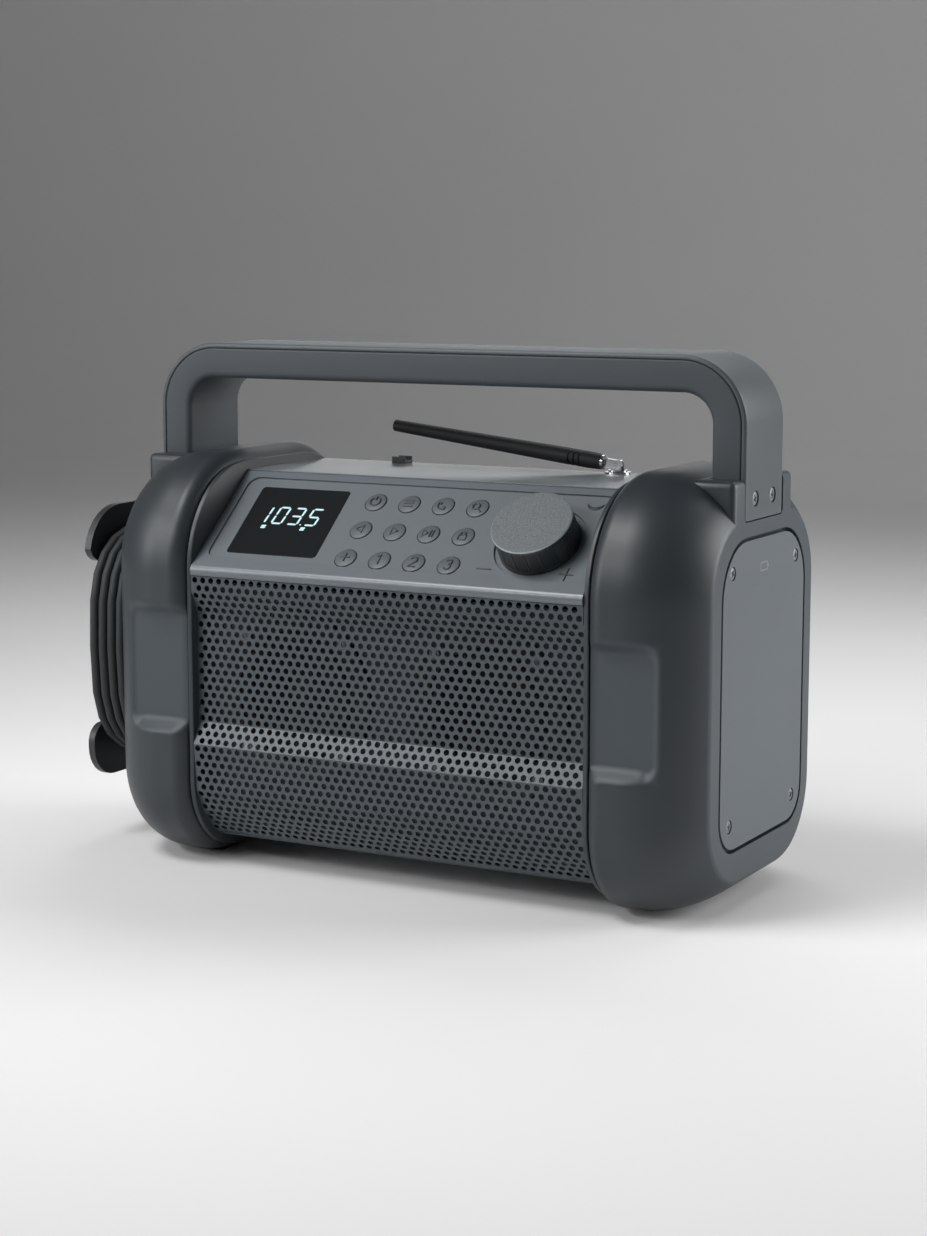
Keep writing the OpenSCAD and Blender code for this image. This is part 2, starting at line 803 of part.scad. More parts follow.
module control_panel() {
  color([0.33, 0.35, 0.36]) place() difference() {
    union() {
      on_panel() translate([-panel_half, 0, -panel_t]) cube([2 * panel_half, panel_run, panel_t]);
      on_panel() translate([0, 0, -nose_r]) rod_x(-panel_half, 2 * panel_half, 2 * nose_r);
      on_panel() for (x = [-1, 1], v = [post_end, panel_run - post_end])
        translate([x * (panel_half - post_side), v, -panel_t - board_gap])
          cylinder(h = board_gap + over, d = post_d, $fn = bore_fn);
    }
    on_panel() translate([0, (panel_run + rim_low - rim_high) / 2, -field_depth])
      linear_extrude(field_depth + over)
        rounded_square(2 * (panel_half - rim_side), panel_run - rim_low - rim_high, field_r);
    on_panel() translate([lens_x, lens_v, -field_depth - lens_t])
      linear_extrude(lens_t + over) rounded_square(lens_w + 2 * seam, lens_h + 2 * seam, lens_r);
    on_panel() translate([lens_x - lens_w / 2 + lens_ledge, lens_v - lens_h / 2 + lens_ledge, -2 * panel_t])
      cube([lens_w - 2 * lens_ledge, lens_h - 2 * lens_ledge, 2 * panel_t]);
    on_panel() key_places() translate([0, 0, -2 * panel_t])
      cylinder(h = 3 * panel_t, d = key_d + 2 * fit, $fn = bore_fn);
    on_panel() translate([knob_x, knob_v, -field_depth - dish_depth])
      cylinder(h = dish_depth + over, d = knob_d + 2 * dish_gap, $fn = round_fn);
    on_panel() translate([knob_x, knob_v, -2 * panel_t])
      cylinder(h = 3 * panel_t, d = bushing_d + 2 * fit, $fn = bore_fn);
    translate([-body_l, -body_d, grille_top + fit - panel_run]) cube([2 * body_l, 2 * body_d, panel_run]);
    translate([-body_l, panel_end, panel_z]) cube([2 * body_l, body_d, body_d]);
  }
}

module display_lens() {
  color([0.03, 0.03, 0.035]) place() on_panel() translate([lens_x, lens_v, -field_depth - lens_t])
    linear_extrude(lens_t) rounded_square(lens_w, lens_h, lens_r - seam);
}

module display_module() {
  low = panel_t + board_gap;
  top = field_depth + lens_t;
  color([0.1, 0.12, 0.13]) place() on_panel()
    translate([lens_x - lens_w / 2 + lens_ledge + fit, lens_v - lens_h / 2 + lens_ledge + fit, -low])
      cube([lens_w - 2 * lens_ledge - 2 * fit, lens_h - 2 * lens_ledge - 2 * fit, low - top - seam]);
}

module control_board() {
  color([0.1, 0.32, 0.2]) place() on_panel() difference() {
    translate([board_side - panel_half, board_low, -panel_t - board_gap - board_t])
      cube([2 * (panel_half - board_side), board_run, board_t]);
    translate([knob_x, knob_v, -3 * panel_t])
      cylinder(h = 3 * panel_t, d = bushing_d + 2 * fit, $fn = bore_fn);
  }
}

// A key: low dome on a stem, with a retaining skirt behind the panel
module key(i) {
  stem_low = -panel_t - key_foot;
  color([0.3, 0.32, 0.33]) place() on_panel() key_place(i) {
    translate([0, 0, stem_low]) cylinder(h = key_foot + panel_t - field_depth, d = key_d, $fn = bore_fn);
    translate([0, 0, -field_depth - ease]) intersection() {
      cylinder(h = key_rise + ease, d = key_d, $fn = bore_fn);
      translate([0, 0, key_rise - key_dome_r]) sphere(r = key_dome_r, $fn = round_fn);
    }
    translate([0, 0, stem_low]) cylinder(h = key_foot - fit, d = key_d + 2 * key_skirt, $fn = bore_fn);
  }
}

module knob_stand() {
  on_panel() translate([knob_x, knob_v, -field_depth - dish_depth]) children();
}

module volume_knob() {
  hub_r = shaft_d / 2 + knob_wall;
  r = knob_d / 2;
  rim_r = r - flute_depth;
  color([0.12, 0.13, 0.14]) place() knob_stand() difference() {
    union() {
      translate([0, 0, fit]) cylinder(h = knob_foot, r = r + flute_depth, $fn = round_fn);
      translate([0, 0, knob_foot]) linear_extrude(knob_h - knob_foot - knob_chamfer) difference() {
        circle(r, $fn = round_fn);
        for (a = [0:360 / knob_flutes:359])
          rotate(a) translate([r + flute_r - flute_depth, 0]) circle(flute_r, $fn = hole_fn);
      }
      translate([0, 0, knob_h - knob_chamfer]) rotate_extrude($fn = round_fn)
        polygon([[0, 0], [rim_r, 0], [rim_r - knob_chamfer, knob_chamfer], [0, knob_chamfer]]);
    }
    rotate_extrude($fn = round_fn) polygon([
      [0, 0], [r - knob_wall, 0], [r - knob_wall, knob_h - knob_top], [hub_r, knob_h - knob_top],
      [hub_r, bushing_rise + fit], [0, bushing_rise + fit]
    ]);
    cylinder(h = 2 * knob_h, d = shaft_d + 2 * run_gap, $fn = bore_fn);
    translate([0, 0, knob_h - cap_sink]) cylinder(h = knob_h, r = r - cap_rim, $fn = round_fn);
  }
}

module knob_cap() {
  r = knob_d / 2 - cap_rim - seam;
  top = cap_sink + seam;
  color([0.36, 0.38, 0.39]) place() knob_stand() translate([0, 0, knob_h - cap_sink])
    rotate_extrude($fn = round_fn)
      polygon([[0, 0], [r, 0], [r, top - cap_bevel], [r - cap_bevel, top], [0, top]]);
}

module encoder() {
  low = -panel_t - board_gap;
  color([0.55, 0.56, 0.58]) place() on_panel() translate([knob_x, knob_v, 0]) difference() {
    union() {
      translate([-encoder_w / 2, -encoder_w / 2, low]) cube([encoder_w, encoder_w, board_gap]);
      translate([0, 0, low])
        cylinder(h = bushing_rise - field_depth - dish_depth - low, d = bushing_d, $fn = bore_fn);
    }
    translate([0, 0, low - over])
      cylinder(h = 3 * panel_t + board_gap, d = shaft_d + 2 * run_gap, $fn = bore_fn);
  }
}

module encoder_shaft() {
  low = -panel_t - board_gap;
  color([0.7, 0.71, 0.72]) place() on_panel() translate([knob_x, knob_v, low])
    cylinder(h = knob_h - cap_sink - seam - field_depth - dish_depth - low, d = shaft_d, $fn = bore_fn);
}

// Handle: rings of a rounded strap section carried down the leg, round the corners and down the other leg
function strap_section(outer, inner, outer_r, inner_r) =
  let (w = handle_d / 2)
  concat(
    arc(outer + outer_r, outer_r - w, outer_r, 270, 180, strap_steps),
    arc(outer + outer_r, w - outer_r, outer_r, 180, 90, strap_steps),
    arc(inner - inner_r, w - inner_r, inner_r, 90, 0, strap_steps),
    arc(inner - inner_r, inner_r - w, inner_r, 0, -90, strap_steps)
  );
function strap_ring(mid, angle, drop, section) = [
  for (p = section) let (r = handle_r - p[0])
    [mid + r * cos(angle), p[1], handle_top - handle_r - drop + r * sin(angle)]
];

module strap(section) {
  mid = half_l - handle_r;
  drop = handle_top - handle_r - leg_low;
  loft(concat(
    [strap_ring(-mid, 180, drop, section)],
    [for (a = handle_angles) strap_ring(-mid, 180 - a, 0, section)],
    [for (a = handle_angles) strap_ring(mid, 90 - a, 0, section)],
    [strap_ring(mid, 0, drop, section)]
  ));
}

module both_ends() {
  children();
  mirror([1, 0, 0]) children();
}

module handle_screw_bore() {
  rod_x(half_l - handle_screw_l - over, handle_screw_l + 2 * over, handle_screw_d + 2 * run_gap);
}

module handle_frame() {
  color([0.25, 0.27, 0.28]) place() difference() {
    strap(strap_section(band_t + seam, handle_t, strap_seam_r, handle_edge_r));
    both_ends() handle_screw_places() handle_screw_bore();
  }
}

module handle_band() {
  color([0.29, 0.31, 0.32]) place() difference() {
    strap(strap_section(0, band_t, band_edge_r, strap_seam_r));
    both_ends() handle_screw_places() {
      handle_screw_bore();
      rod_x(half_l - handle_head_t - fit, handle_head_t + over, handle_head_d + 2 * fit);
    }
  }
}

module handle_screws() {
  color([0.2, 0.21, 0.22]) place() both_ends() handle_screw_places() {
    rod_x(half_l - handle_head_t - fit, handle_head_t, handle_head_d);
    rod_x(half_l - handle_screw_l, handle_screw_l - handle_head_t, handle_screw_d);
  }
}

// Battery end
module battery_cover() {
  color([0.31, 0.33, 0.34]) place() difference() {
    along_x(half_l - cover_t, cover_t) cover_outline(0);
    cover_screw_places() {
      rod_x(half_l - cover_t - over, cover_t + 2 * over, cover_screw_d + 2 * run_gap);
      rod_x(half_l - cover_head_t, cover_head_t + over, cover_head_d + 2 * fit);
    }
    along_x(half_l - cover_t - over, over + seal_t / 2) seal_outline(fit);
  }
}

module seal_outline(grow) {
  difference() {
    cover_outline(seal_inset - grow);
    cover_outline(seal_inset + seal_w + grow);
  }
}

module battery_seal() {
  color([0.08, 0.08, 0.08]) place() along_x(half_l - cover_t - seal_t / 2, seal_t) seal_outline(0);
}

module battery_cover_screws() {
  color([0.3, 0.31, 0.32]) place() cover_screw_places() {
    rod_x(half_l - cover_head_t, cover_head_t - seam, cover_head_d);
    rod_x(half_l - cap_end_wall - over, cap_end_wall, cover_screw_d);
  }
}

module cell_places() {
  for (y = [-1, 1], z = [-1:1]) translate([0, y * cell_pitch / 2, cell_z + z * cell_pitch]) children();
}

module battery_holder() {
  color([0.12, 0.12, 0.13]) place() difference() {
    translate([holder_in, -holder_half_w, cell_z - holder_half_h])
      cube([half_l - cap_end_wall - holder_in, 2 * holder_half_w, 2 * holder_half_h]);
    cell_places() rod_x(holder_in + holder_end, 2 * cell_l, cell_d + 2 * fit);
  }
}

module battery_contacts() {
  color([0.75, 0.74, 0.7]) place() cell_places() rod_x(holder_in + holder_end, contact_t, cell_d / 2);
}

module battery_cells() {
  from = holder_in + holder_end + contact_t + seam;
  color([0.35, 0.36, 0.38]) place() cell_places() {
    rod_x(from, cell_l - nub_h, cell_d);
    rod_x(from, cell_l, nub_d);
  }
}

// Speakers
module speaker_places() {
  for (x = [-1, 1]) speaker_place(x) children();
}

module speaker_place(x) {
  translate([x * speaker_pitch / 2, baffle_y, speaker_z]) children();
}

module speaker_screw_places() {
  r = (speaker_d - speaker_flange) / 2;
  speaker_places() for (a = [45:90:315]) translate([r * cos(a), 0, r * sin(a)]) children();
}

// Revolves a profile of [radius, depth behind the baffle's front face]
module behind_baffle(x) {
  place() speaker_place(x) rotate([-90, 0, 0]) children();
}

module speaker_basket(x) {
  r = speaker_d / 2;
  neck = r - speaker_flange;
  foot = magnet_d / 2;
  color([0.18, 0.18, 0.19]) behind_baffle(x) difference() {
    rotate_extrude($fn = round_fn) polygon([
      [neck - basket_wall, -speaker_flange_t], [r, -speaker_flange_t], [r, 0],
      [neck, 0], [neck, basket_wall], [foot, speaker_depth], [foot - basket_seat, speaker_depth],
      [foot - basket_seat, speaker_depth - basket_wall / 2],
      [foot - basket_wall / 2, speaker_depth - basket_wall / 2], [neck - basket_wall, basket_wall]
    ]);
    for (a = [0:90:270]) rotate([0, 0, a]) translate([foot + over, -basket_gap / 2, 2 * basket_wall])
      cube([r, basket_gap, speaker_depth - 4 * basket_wall]);
    for (a = [45:90:315]) rotate([0, 0, a]) translate([r - speaker_flange / 2, 0, -2 * speaker_flange_t])
      cylinder(h = 4 * speaker_flange_t, d = speaker_screw_d + 2 * run_gap, $fn = bore_fn);
  }
}

module speaker_cone(x) {
  neck = speaker_d / 2 - speaker_flange - basket_wall - seam;
  color([0.08, 0.08, 0.085]) behind_baffle(x) rotate_extrude($fn = round_fn) polygon([
    [0, 7], [9, 10], [12, 12], [neck - 8, 0.5], [neck - 6.5, -2.2], [neck - 4, -3.2], [neck - 1.5, -2.2],
    [neck, -1], [neck, 0], [neck - 2.5, -1.4], [neck - 4, -2.2], [neck - 5.8, -1.4], [neck - 7.5, 2.5],
    [13, 14], [11, 13.5], [8.5, 11], [0, 8]
  ]);
}

module speaker_magnet(x) {
  r = magnet_d / 2;
  flat = r - 1;
  color([0.2, 0.2, 0.21]) behind_baffle(x) translate([0, 0, speaker_depth])
    rotate_extrude($fn = round_fn)
      polygon([[0, 0], [flat, 0], [r, r - flat], [r, magnet_h - r + flat], [flat, magnet_h], [0, magnet_h]]);
}

module speaker_screws() {
  color([0.3, 0.3, 0.31]) place() speaker_screw_places() rotate([-90, 0, 0]) {
    translate([0, 0, -speaker_flange_t - pan_t]) cylinder(h = pan_t, d = pan_d, $fn = bore_fn);
    translate([0, 0, -speaker_flange_t - ease])
      cylinder(h = speaker_screw_l + ease, d = speaker_screw_d, $fn = bore_fn);
  }
}

// Antenna
module antenna_foot() {
  translate([antenna_x, antenna_y, deck_z]) children();
}

module antenna_base() {
  color([0.75, 0.76, 0.77]) place() antenna_foot() difference() {
    union() {
      cylinder(h = base_t, d = base_d, $fn = bore_fn);
      translate([0, 0, -2 * wall]) cylinder(h = 2 * wall + ease, d = base_d / 2, $fn = bore_fn);
    }
    translate([0, 0, -3 * wall]) cylinder(h = 4 * wall, d = stem_d + 2 * run_gap, $fn = bore_fn);
  }
}

module antenna_swivel() {
  disc_t = pivot_rise - base_t - fit - ear_r;
  ear_low = base_t + fit / 2;
  slot = tongue_t / 2 + 2 * run_gap;
  color([0.8, 0.81, 0.82]) place() antenna_foot() difference() {
    union() {
      translate([0, 0, ear_low]) cylinder(h = disc_t, d = swivel_d, $fn = bore_fn);
      translate([0, 0, ear_low - stem_l]) cylinder(h = stem_l, d = stem_d, $fn = bore_fn);
      for (y = [-1, 1]) translate([0, y * (slot + ear_t / 2), 0]) {
        translate([-ear_r, -ear_t / 2, ear_low]) cube([2 * ear_r, ear_t, pivot_rise - ear_low]);
        translate([0, 0, pivot_rise]) rotate([90, 0, 0])
          cylinder(h = ear_t, r = ear_r, center = true, $fn = bore_fn);
      }
    }
    translate([0, 0, pivot_rise]) rotate([90, 0, 0])
      cylinder(h = 4 * base_d, d = pin_d + 2 * run_gap, center = true, $fn = bore_fn);
  }
}

module antenna_pin() {
  color([0.7, 0.71, 0.72]) place() antenna_foot() translate([0, 0, pivot_rise]) rotate([90, 0, 0])
    cylinder(h = tongue_t + 2 * ear_t + 4 * run_gap, d = pin_d, center = true, $fn = bore_fn);
}

// Antenna pieces run along -X from the pivot and are tilted up as one
module antenna_pose() {
  place() antenna_foot() translate([0, 0, pivot_rise]) rotate([0, antenna_tilt, 0]) children();
}

module antenna_ferrule() {
  color([0.8, 0.81, 0.82]) antenna_pose() difference() {
    union() {
      rotate([90, 0, 0]) cylinder(h = tongue_t, r = ear_r - fit, center = true, $fn = bore_fn);
      translate([-ferrule_from - over, -tongue_t / 2, fit - ear_r])
        cube([ferrule_from + over, tongue_t, 2 * (ear_r - fit)]);
      rotate([0, -90, 0]) translate([0, 0, ferrule_from]) rotate_extrude($fn = bore_fn) polygon([
        [0, 0], [whip_root_d / 2 - ferrule_edge, 0], [whip_root_d / 2, ferrule_edge],
        [whip_root_d / 2, ferrule_l - ferrule_edge], [whip_root_d / 2 - ferrule_edge / 2, ferrule_l],
        [0, ferrule_l]
      ]);
    }
    rotate([90, 0, 0]) cylinder(h = 4 * base_d, d = pin_d + 2 * run_gap, center = true, $fn = bore_fn);
  }
}

module antenna_whip() {
  root = ferrule_from + ferrule_l;
  r0 = whip_root_d / 2;
  r1 = whip_tip_d / 2;
  groove_end = whip_groove_w + 2 * whip_groove_edge;
  color([0.07, 0.07, 0.075]) antenna_pose() rotate([0, -90, 0]) rotate_extrude($fn = bore_fn) polygon(concat(
    [[0, root], [r0 - whip_groove_edge, root], [r0, root + whip_groove_edge]],
    [for (i = [0:whip_grooves - 1]) each let (s = root + whip_groove_from + whip_groove_pitch * i)
      [[r0, s], [r0 - whip_groove, s + whip_groove_edge],
        [r0 - whip_groove, s + whip_groove_edge + whip_groove_w], [r0, s + groove_end]]],
    [[r0, root + whip_groove_from + (whip_grooves + 1) * whip_groove_pitch], [r1, antenna_l - r1]],
    [for (a = [15:15:75]) [r1 * cos(a), antenna_l - r1 + r1 * sin(a)]],
    [[0, antenna_l]]
  ));
}

module antenna_clip() {
  tip_x = antenna_x - antenna_l + clip_l / 2 + 1;
  color([0.16, 0.17, 0.18]) place() difference() {
    translate([tip_x - clip_l / 2, antenna_y - clip_w / 2, deck_z]) cube([clip_l, clip_w, clip_rise]);
    translate([0, antenna_y, pivot_z]) rod_x(tip_x - clip_l, 2 * clip_l, whip_tip_d + 3 * fit);
  }
}

// Cord winder on the left end
function post_outline() = [
  for (i = [0:2 * loop_rings - 1])
    loop_point(i * 180 / loop_rings, loop_half_w - post_gap, loop_half_h - post_gap)
];

module cord_hook(side) {
  post_top = hook_mid + side * (loop_half_h - post_gap);
  flange_mid = side > 0 ? cover_high - flange_h / 2 : cover_low + flange_h / 2;
  color([0.1, 0.1, 0.105]) place() difference() {
    union() {
      along_x(-half_l - hook_reach + flange_t - ease, hook_reach - flange_t + ease) intersection() {
        polygon(post_outline());
        translate([0, post_top - side * post_h / 2]) square([post_w, post_h], center = true);
      }
      along_x(-half_l - hook_reach, flange_t) intersection() {
        polygon(rounded(cover_corners, 0));
        translate([0, flange_mid]) square([2 * cover_w, flange_h], center = true);
      }
    }
    hook_screw_places()
      rod_x(-half_l - hook_screw_in - over, hook_screw_in + 2 * over, hook_screw_d + 2 * run_gap);
  }
}

module hook_screw_places() {
  for (y = [-1, 1], side = [-1, 1])
    translate([0, y * hook_screw_y, hook_mid + side * (loop_half_h - post_gap - post_h / 2)]) children();
}

module hook_screws() {
  color([0.3, 0.3, 0.31]) place() hook_screw_places() {
    rod_x(cap_end_wall - half_l - ease, pan_t + ease, pan_d);
    rod_x(-half_l - hook_screw_in, hook_screw_in + cap_end_wall, hook_screw_d);
  }
}

module cord_gland() {
  color([0.08, 0.08, 0.085]) place() {
    translate([-lead_start, gland_from, gland_z]) rotate([-90, 0, 0])
      rotate_extrude($fn = bore_fn) polygon(concat(
        [[0, 0], [gland_r0, 0], [gland_r0, gland_collar]],
        [for (i = [0:gland_ribs - 1]) each let (
          s = gland_collar + over + gland_rib_pitch * i,
          r = gland_r0 + (gland_r1 - gland_r0) * i / (gland_ribs - 1),
          low = r - gland_groove
        ) [[r, s], [r, s + gland_rib_l], [low, s + gland_rib_l + gland_slant],
          [low, s + gland_rib_pitch - gland_slant]]],
        [[gland_r1, gland_l - 2 * over], [gland_r1, gland_l], [0, gland_l]]
      ));
    translate([0, gland_from + gland_r0, gland_z])
      rod_x(-lead_start, lead_start - half_l + cap_end_wall, 2 * gland_stub_r);
  }
}

// The lead is one tube: out of the gland, round the hooks and in to the plug
lead_path = concat(
  [for (p = lead_in) [-p[0], p[1], p[2]]],
  [for (i = [0:loop_rings * lead_turns])
    let (p = loop_point(-360 * i / loop_rings, loop_half_w, loop_half_h))
    [-lead_start - lead_pitch * i / loop_rings, p[0], p[1]]],
  [for (p = lead_out) [-p[0], p[1], p[2]]]
);

function path_dir(path, i) =
  unit(path[min(i + 1, len(path) - 1)] - path[max(i - 1, 0)]);
// Ring axes: one lies along X as far as the path allows
function ring_side(d) = unit([1, 0, 0] - d * d[0]);
function tube_ring(path, i, r, sides) =
  let (d = path_dir(path, i), u = ring_side(d), v = cross(d, u))
  [for (k = [0:sides - 1]) path[i] + r * (u * cos(360 * k / sides) + v * sin(360 * k / sides))];
function tube_gap(path, d) = min([
  for (i = [0:len(path) - 1], j = [i + 1:len(path) - 1])
    if (j - i > loop_rings / 3) norm(path[i] - path[j]) - d
]);
function path_length(path) = [for (i = [1:len(path) - 1]) norm(path[i] - path[i - 1])]
  * [for (i = [1:len(path) - 1]) 1];

module mains_lead() {
  echo(lead_gap = tube_gap(lead_path, lead_d), lead_length = path_length(lead_path));
  color([0.06, 0.06, 0.065]) place()
    loft([for (i = [0:len(lead_path) - 1]) tube_ring(lead_path, i, lead_d / 2, lead_sides)]);
}

// Flat two-pin plug, put away between the hooks
module plug_body() {
  color([0.06, 0.06, 0.065]) place() translate([-plug_x, plug_from, plug_z]) rotate([90, 0, 0]) hull() {
    cylinder(h = over, d = plug_neck_d, $fn = hole_fn);
    translate([0, 0, plug_neck_l]) linear_extrude(plug_l - plug_neck_l - 2 * over)
      rounded_square(plug_t, plug_w, plug_r, hole_fn);
    translate([0, 0, plug_l - over]) linear_extrude(over)
      rounded_square(plug_t - 2 * over, plug_w - 2 * over, plug_r, hole_fn);
  }
}

module plug_pins() {
  r = plug_pin_d / 2;
  color([0.78, 0.77, 0.72]) place() for (z = [-1, 1])
    translate([-plug_x, plug_from - plug_l, plug_z + z * plug_pin_pitch / 2])
      rotate([90, 0, 0]) rotate_extrude($fn = bore_fn)
        polygon([[0, 0], [r, 0], [r, plug_pin_l - r], [r / 2, plug_pin_l], [0, plug_pin_l]]);
}

// Boards
module board_places() {
  for (x = [-1, 1], z = [board_hole_low, board_hole_high])
    translate([x * board_hole_x, rear_y - wall / 2, z]) children();
}

module main_board() {
  front = rear_y - wall - board_stand - board_t;
  color([0.1, 0.32, 0.2]) place() {
    translate([-main_w / 2, front, main_low]) cube([main_w, board_t, main_h]);
    translate([tuner_x - tuner_w / 2, front - tuner_t, tuner_low]) cube([tuner_w, tuner_t + ease, tuner_h]);
    translate([chip_x, front - chip_t, chip_low]) cube([chip_w, chip_t + ease, chip_w]);
    for (x = [-1, 1]) translate([can_x + x * can_pitch / 2, front - can_l, can_z]) rotate([-90, 0, 0])
      cylinder(h = can_l + ease, d = can_d, $fn = bore_fn);
  }
}

module supply_places() {
  for (y = [-1, 1], z = [supply_hole_low, supply_hole_high]) translate([0, y * supply_hole_y, z]) children();
}

module power_supply() {
  back = cap_end_wall + supply_stand - half_l;
  front = back + board_t - ease;
  color([0.42, 0.3, 0.16]) place() {
    translate([back, -supply_w / 2, supply_low]) cube([board_t, supply_w, supply_h]);
    translate([front, core_y - core_w / 2, core_low]) cube([core_l, core_w, core_h]);
    translate([0, filter_y, filter_z]) rod_x(front, filter_l, filter_d);
    translate([front, inlet_y - inlet_w / 2, inlet_low]) cube([inlet_l, inlet_w, inlet_h]);
  }
}

// Rubber feet under the flat of each cap
module feet() {
  foot_y = half_d - cap_low_r - foot_w / 2;
  foot_x = (cap_in + cap_lip_r + curve_x) / 2;
  color([0.07, 0.07, 0.07]) place() for (x = [-1, 1], y = [-1, 1])
    translate([x * foot_x, y * foot_y, 0]) linear_extrude(foot_h) rounded_square(foot_l, foot_w, foot_r);
}

left_end_cap();
right_end_cap();
rear_cabinet();
top_deck();
front_baffle();
speaker_grille();
control_panel();
display_lens();
display_module();
control_board();
volume_knob();
knob_cap();
encoder();
encoder_shaft();
key(0);  // key_power
key(1);  // key_mode
key(2);  // key_phone
key(3);  // key_scan
key(4);  // key_back
key(5);  // key_forward
key(6);  // key_play
key(7);  // key_lock
key(8);  // key_preset
key(9);  // key_one
key(10);  // key_two
key(11);  // key_three
handle_frame();
handle_band();
handle_screws();
battery_cover();
battery_seal();
battery_cover_screws();
battery_holder();
battery_cells();
battery_contacts();
speaker_basket(-1);  // left_speaker_basket
speaker_basket(1);  // right_speaker_basket
speaker_cone(-1);  // left_speaker_cone
speaker_cone(1);  // right_speaker_cone
speaker_magnet(-1);  // left_speaker_magnet
speaker_magnet(1);  // right_speaker_magnet
speaker_screws();
antenna_base();
antenna_swivel();
antenna_pin();
antenna_ferrule();
antenna_whip();
antenna_clip();
cord_hook(1);  // upper_cord_hook
cord_hook(-1);  // lower_cord_hook
hook_screws();
cord_gland();
mains_lead();
plug_body();
plug_pins();
main_board();
power_supply();
feet();
cabinet_screws();
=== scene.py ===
"""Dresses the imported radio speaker: moulded end caps, handle, panel marks, screws, finishes, wound lead and studio."""

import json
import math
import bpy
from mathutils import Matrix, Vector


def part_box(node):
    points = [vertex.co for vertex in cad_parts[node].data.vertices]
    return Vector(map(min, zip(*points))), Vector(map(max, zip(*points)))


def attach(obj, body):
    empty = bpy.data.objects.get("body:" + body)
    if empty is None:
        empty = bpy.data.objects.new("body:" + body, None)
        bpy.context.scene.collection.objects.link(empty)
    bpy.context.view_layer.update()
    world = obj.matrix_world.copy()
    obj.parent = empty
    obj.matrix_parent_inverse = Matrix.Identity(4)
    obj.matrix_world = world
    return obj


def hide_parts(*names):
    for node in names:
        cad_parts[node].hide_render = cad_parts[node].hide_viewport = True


bl_info = {
    "name": "Radio speaker dress",
    "version": (1, 0, 0),
    "blender": (4, 5, 0),
    "location": "View3D > Sidebar > Radio",
    "description": "Moulded shells, marks, finishes, wound lead and studio of a rugged radio speaker",
    "category": "Object",
}

import bmesh
import bpy
from bpy.props import FloatProperty, FloatVectorProperty, IntProperty, PointerProperty
from mathutils import Matrix, Vector

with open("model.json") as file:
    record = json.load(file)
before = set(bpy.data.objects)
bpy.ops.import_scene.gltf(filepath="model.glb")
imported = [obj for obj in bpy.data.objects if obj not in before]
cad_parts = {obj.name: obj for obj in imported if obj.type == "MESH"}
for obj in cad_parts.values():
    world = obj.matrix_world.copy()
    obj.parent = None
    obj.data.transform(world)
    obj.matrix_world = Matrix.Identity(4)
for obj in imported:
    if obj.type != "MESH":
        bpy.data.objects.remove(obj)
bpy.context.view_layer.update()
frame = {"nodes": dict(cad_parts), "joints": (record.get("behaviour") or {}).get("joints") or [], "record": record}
NODES = frame["nodes"]
RECORD = frame["record"]
JOINTS = {j["name"]: j for j in frame["joints"]}
BODY_OF = {n: body for body, nodes in RECORD["behaviour"]["bodies"].items() for n in nodes}
SLOT_OF = {s["node"]: s["material_slot"] for s in RECORD["subparts"]}
HOUSING = BODY_OF["control_panel"]
MM = 0.001

# The body's own middle and outline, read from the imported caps
LEFT_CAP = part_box("left_end_cap")
RIGHT_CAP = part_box("right_end_cap")
MID_X = (LEFT_CAP[0].x + RIGHT_CAP[1].x) / 2
HALF_L = RIGHT_CAP[1].x - MID_X
HALF_D = RIGHT_CAP[1].y
CAP_LOW = RIGHT_CAP[0].z
CAP_TOP = RIGHT_CAP[1].z
RING_X = RIGHT_CAP[0].x - MID_X

# The sloped panel: U along it, V up the slope, N outwards, with the knob's axis as the known point
PANEL_N = Vector(JOINTS["volume_turn"]["axis"]).normalized()
PANEL_U = Vector((1, 0, 0))
PANEL_V = PANEL_N.cross(PANEL_U)
KNOB_AT = Vector(JOINTS["volume_turn"]["pos_m"])
KNOB_V = 31 * MM
PANEL_ORIGIN = KNOB_AT - PANEL_U * (KNOB_AT.x - MID_X) - PANEL_V * KNOB_V
KNOB_TOP = max(v.co.dot(PANEL_N) for v in NODES["knob_cap"].data.vertices)

# Middle along Y and Z, half width and half height of the sign on the cover
CELL_SIGN = (1.5 * MM, 163.1 * MM, 4.2 * MM, 1.9 * MM)

# Reach of a cutter past the face it opens
PAST = 5 * MM


def length_prop(name, text, default):
    """A length, given in millimetres."""
    return FloatProperty(name=name, description=text, default=default * MM, min=0, unit="LENGTH", subtype="DISTANCE")


def share_prop(name, text, default):
    return FloatProperty(name=name, description=text, default=default, min=0, max=1)


def colour_prop(name, text, default):
    return FloatVectorProperty(name=name, description=text, default=default, size=3, min=0, max=1, subtype="COLOR")


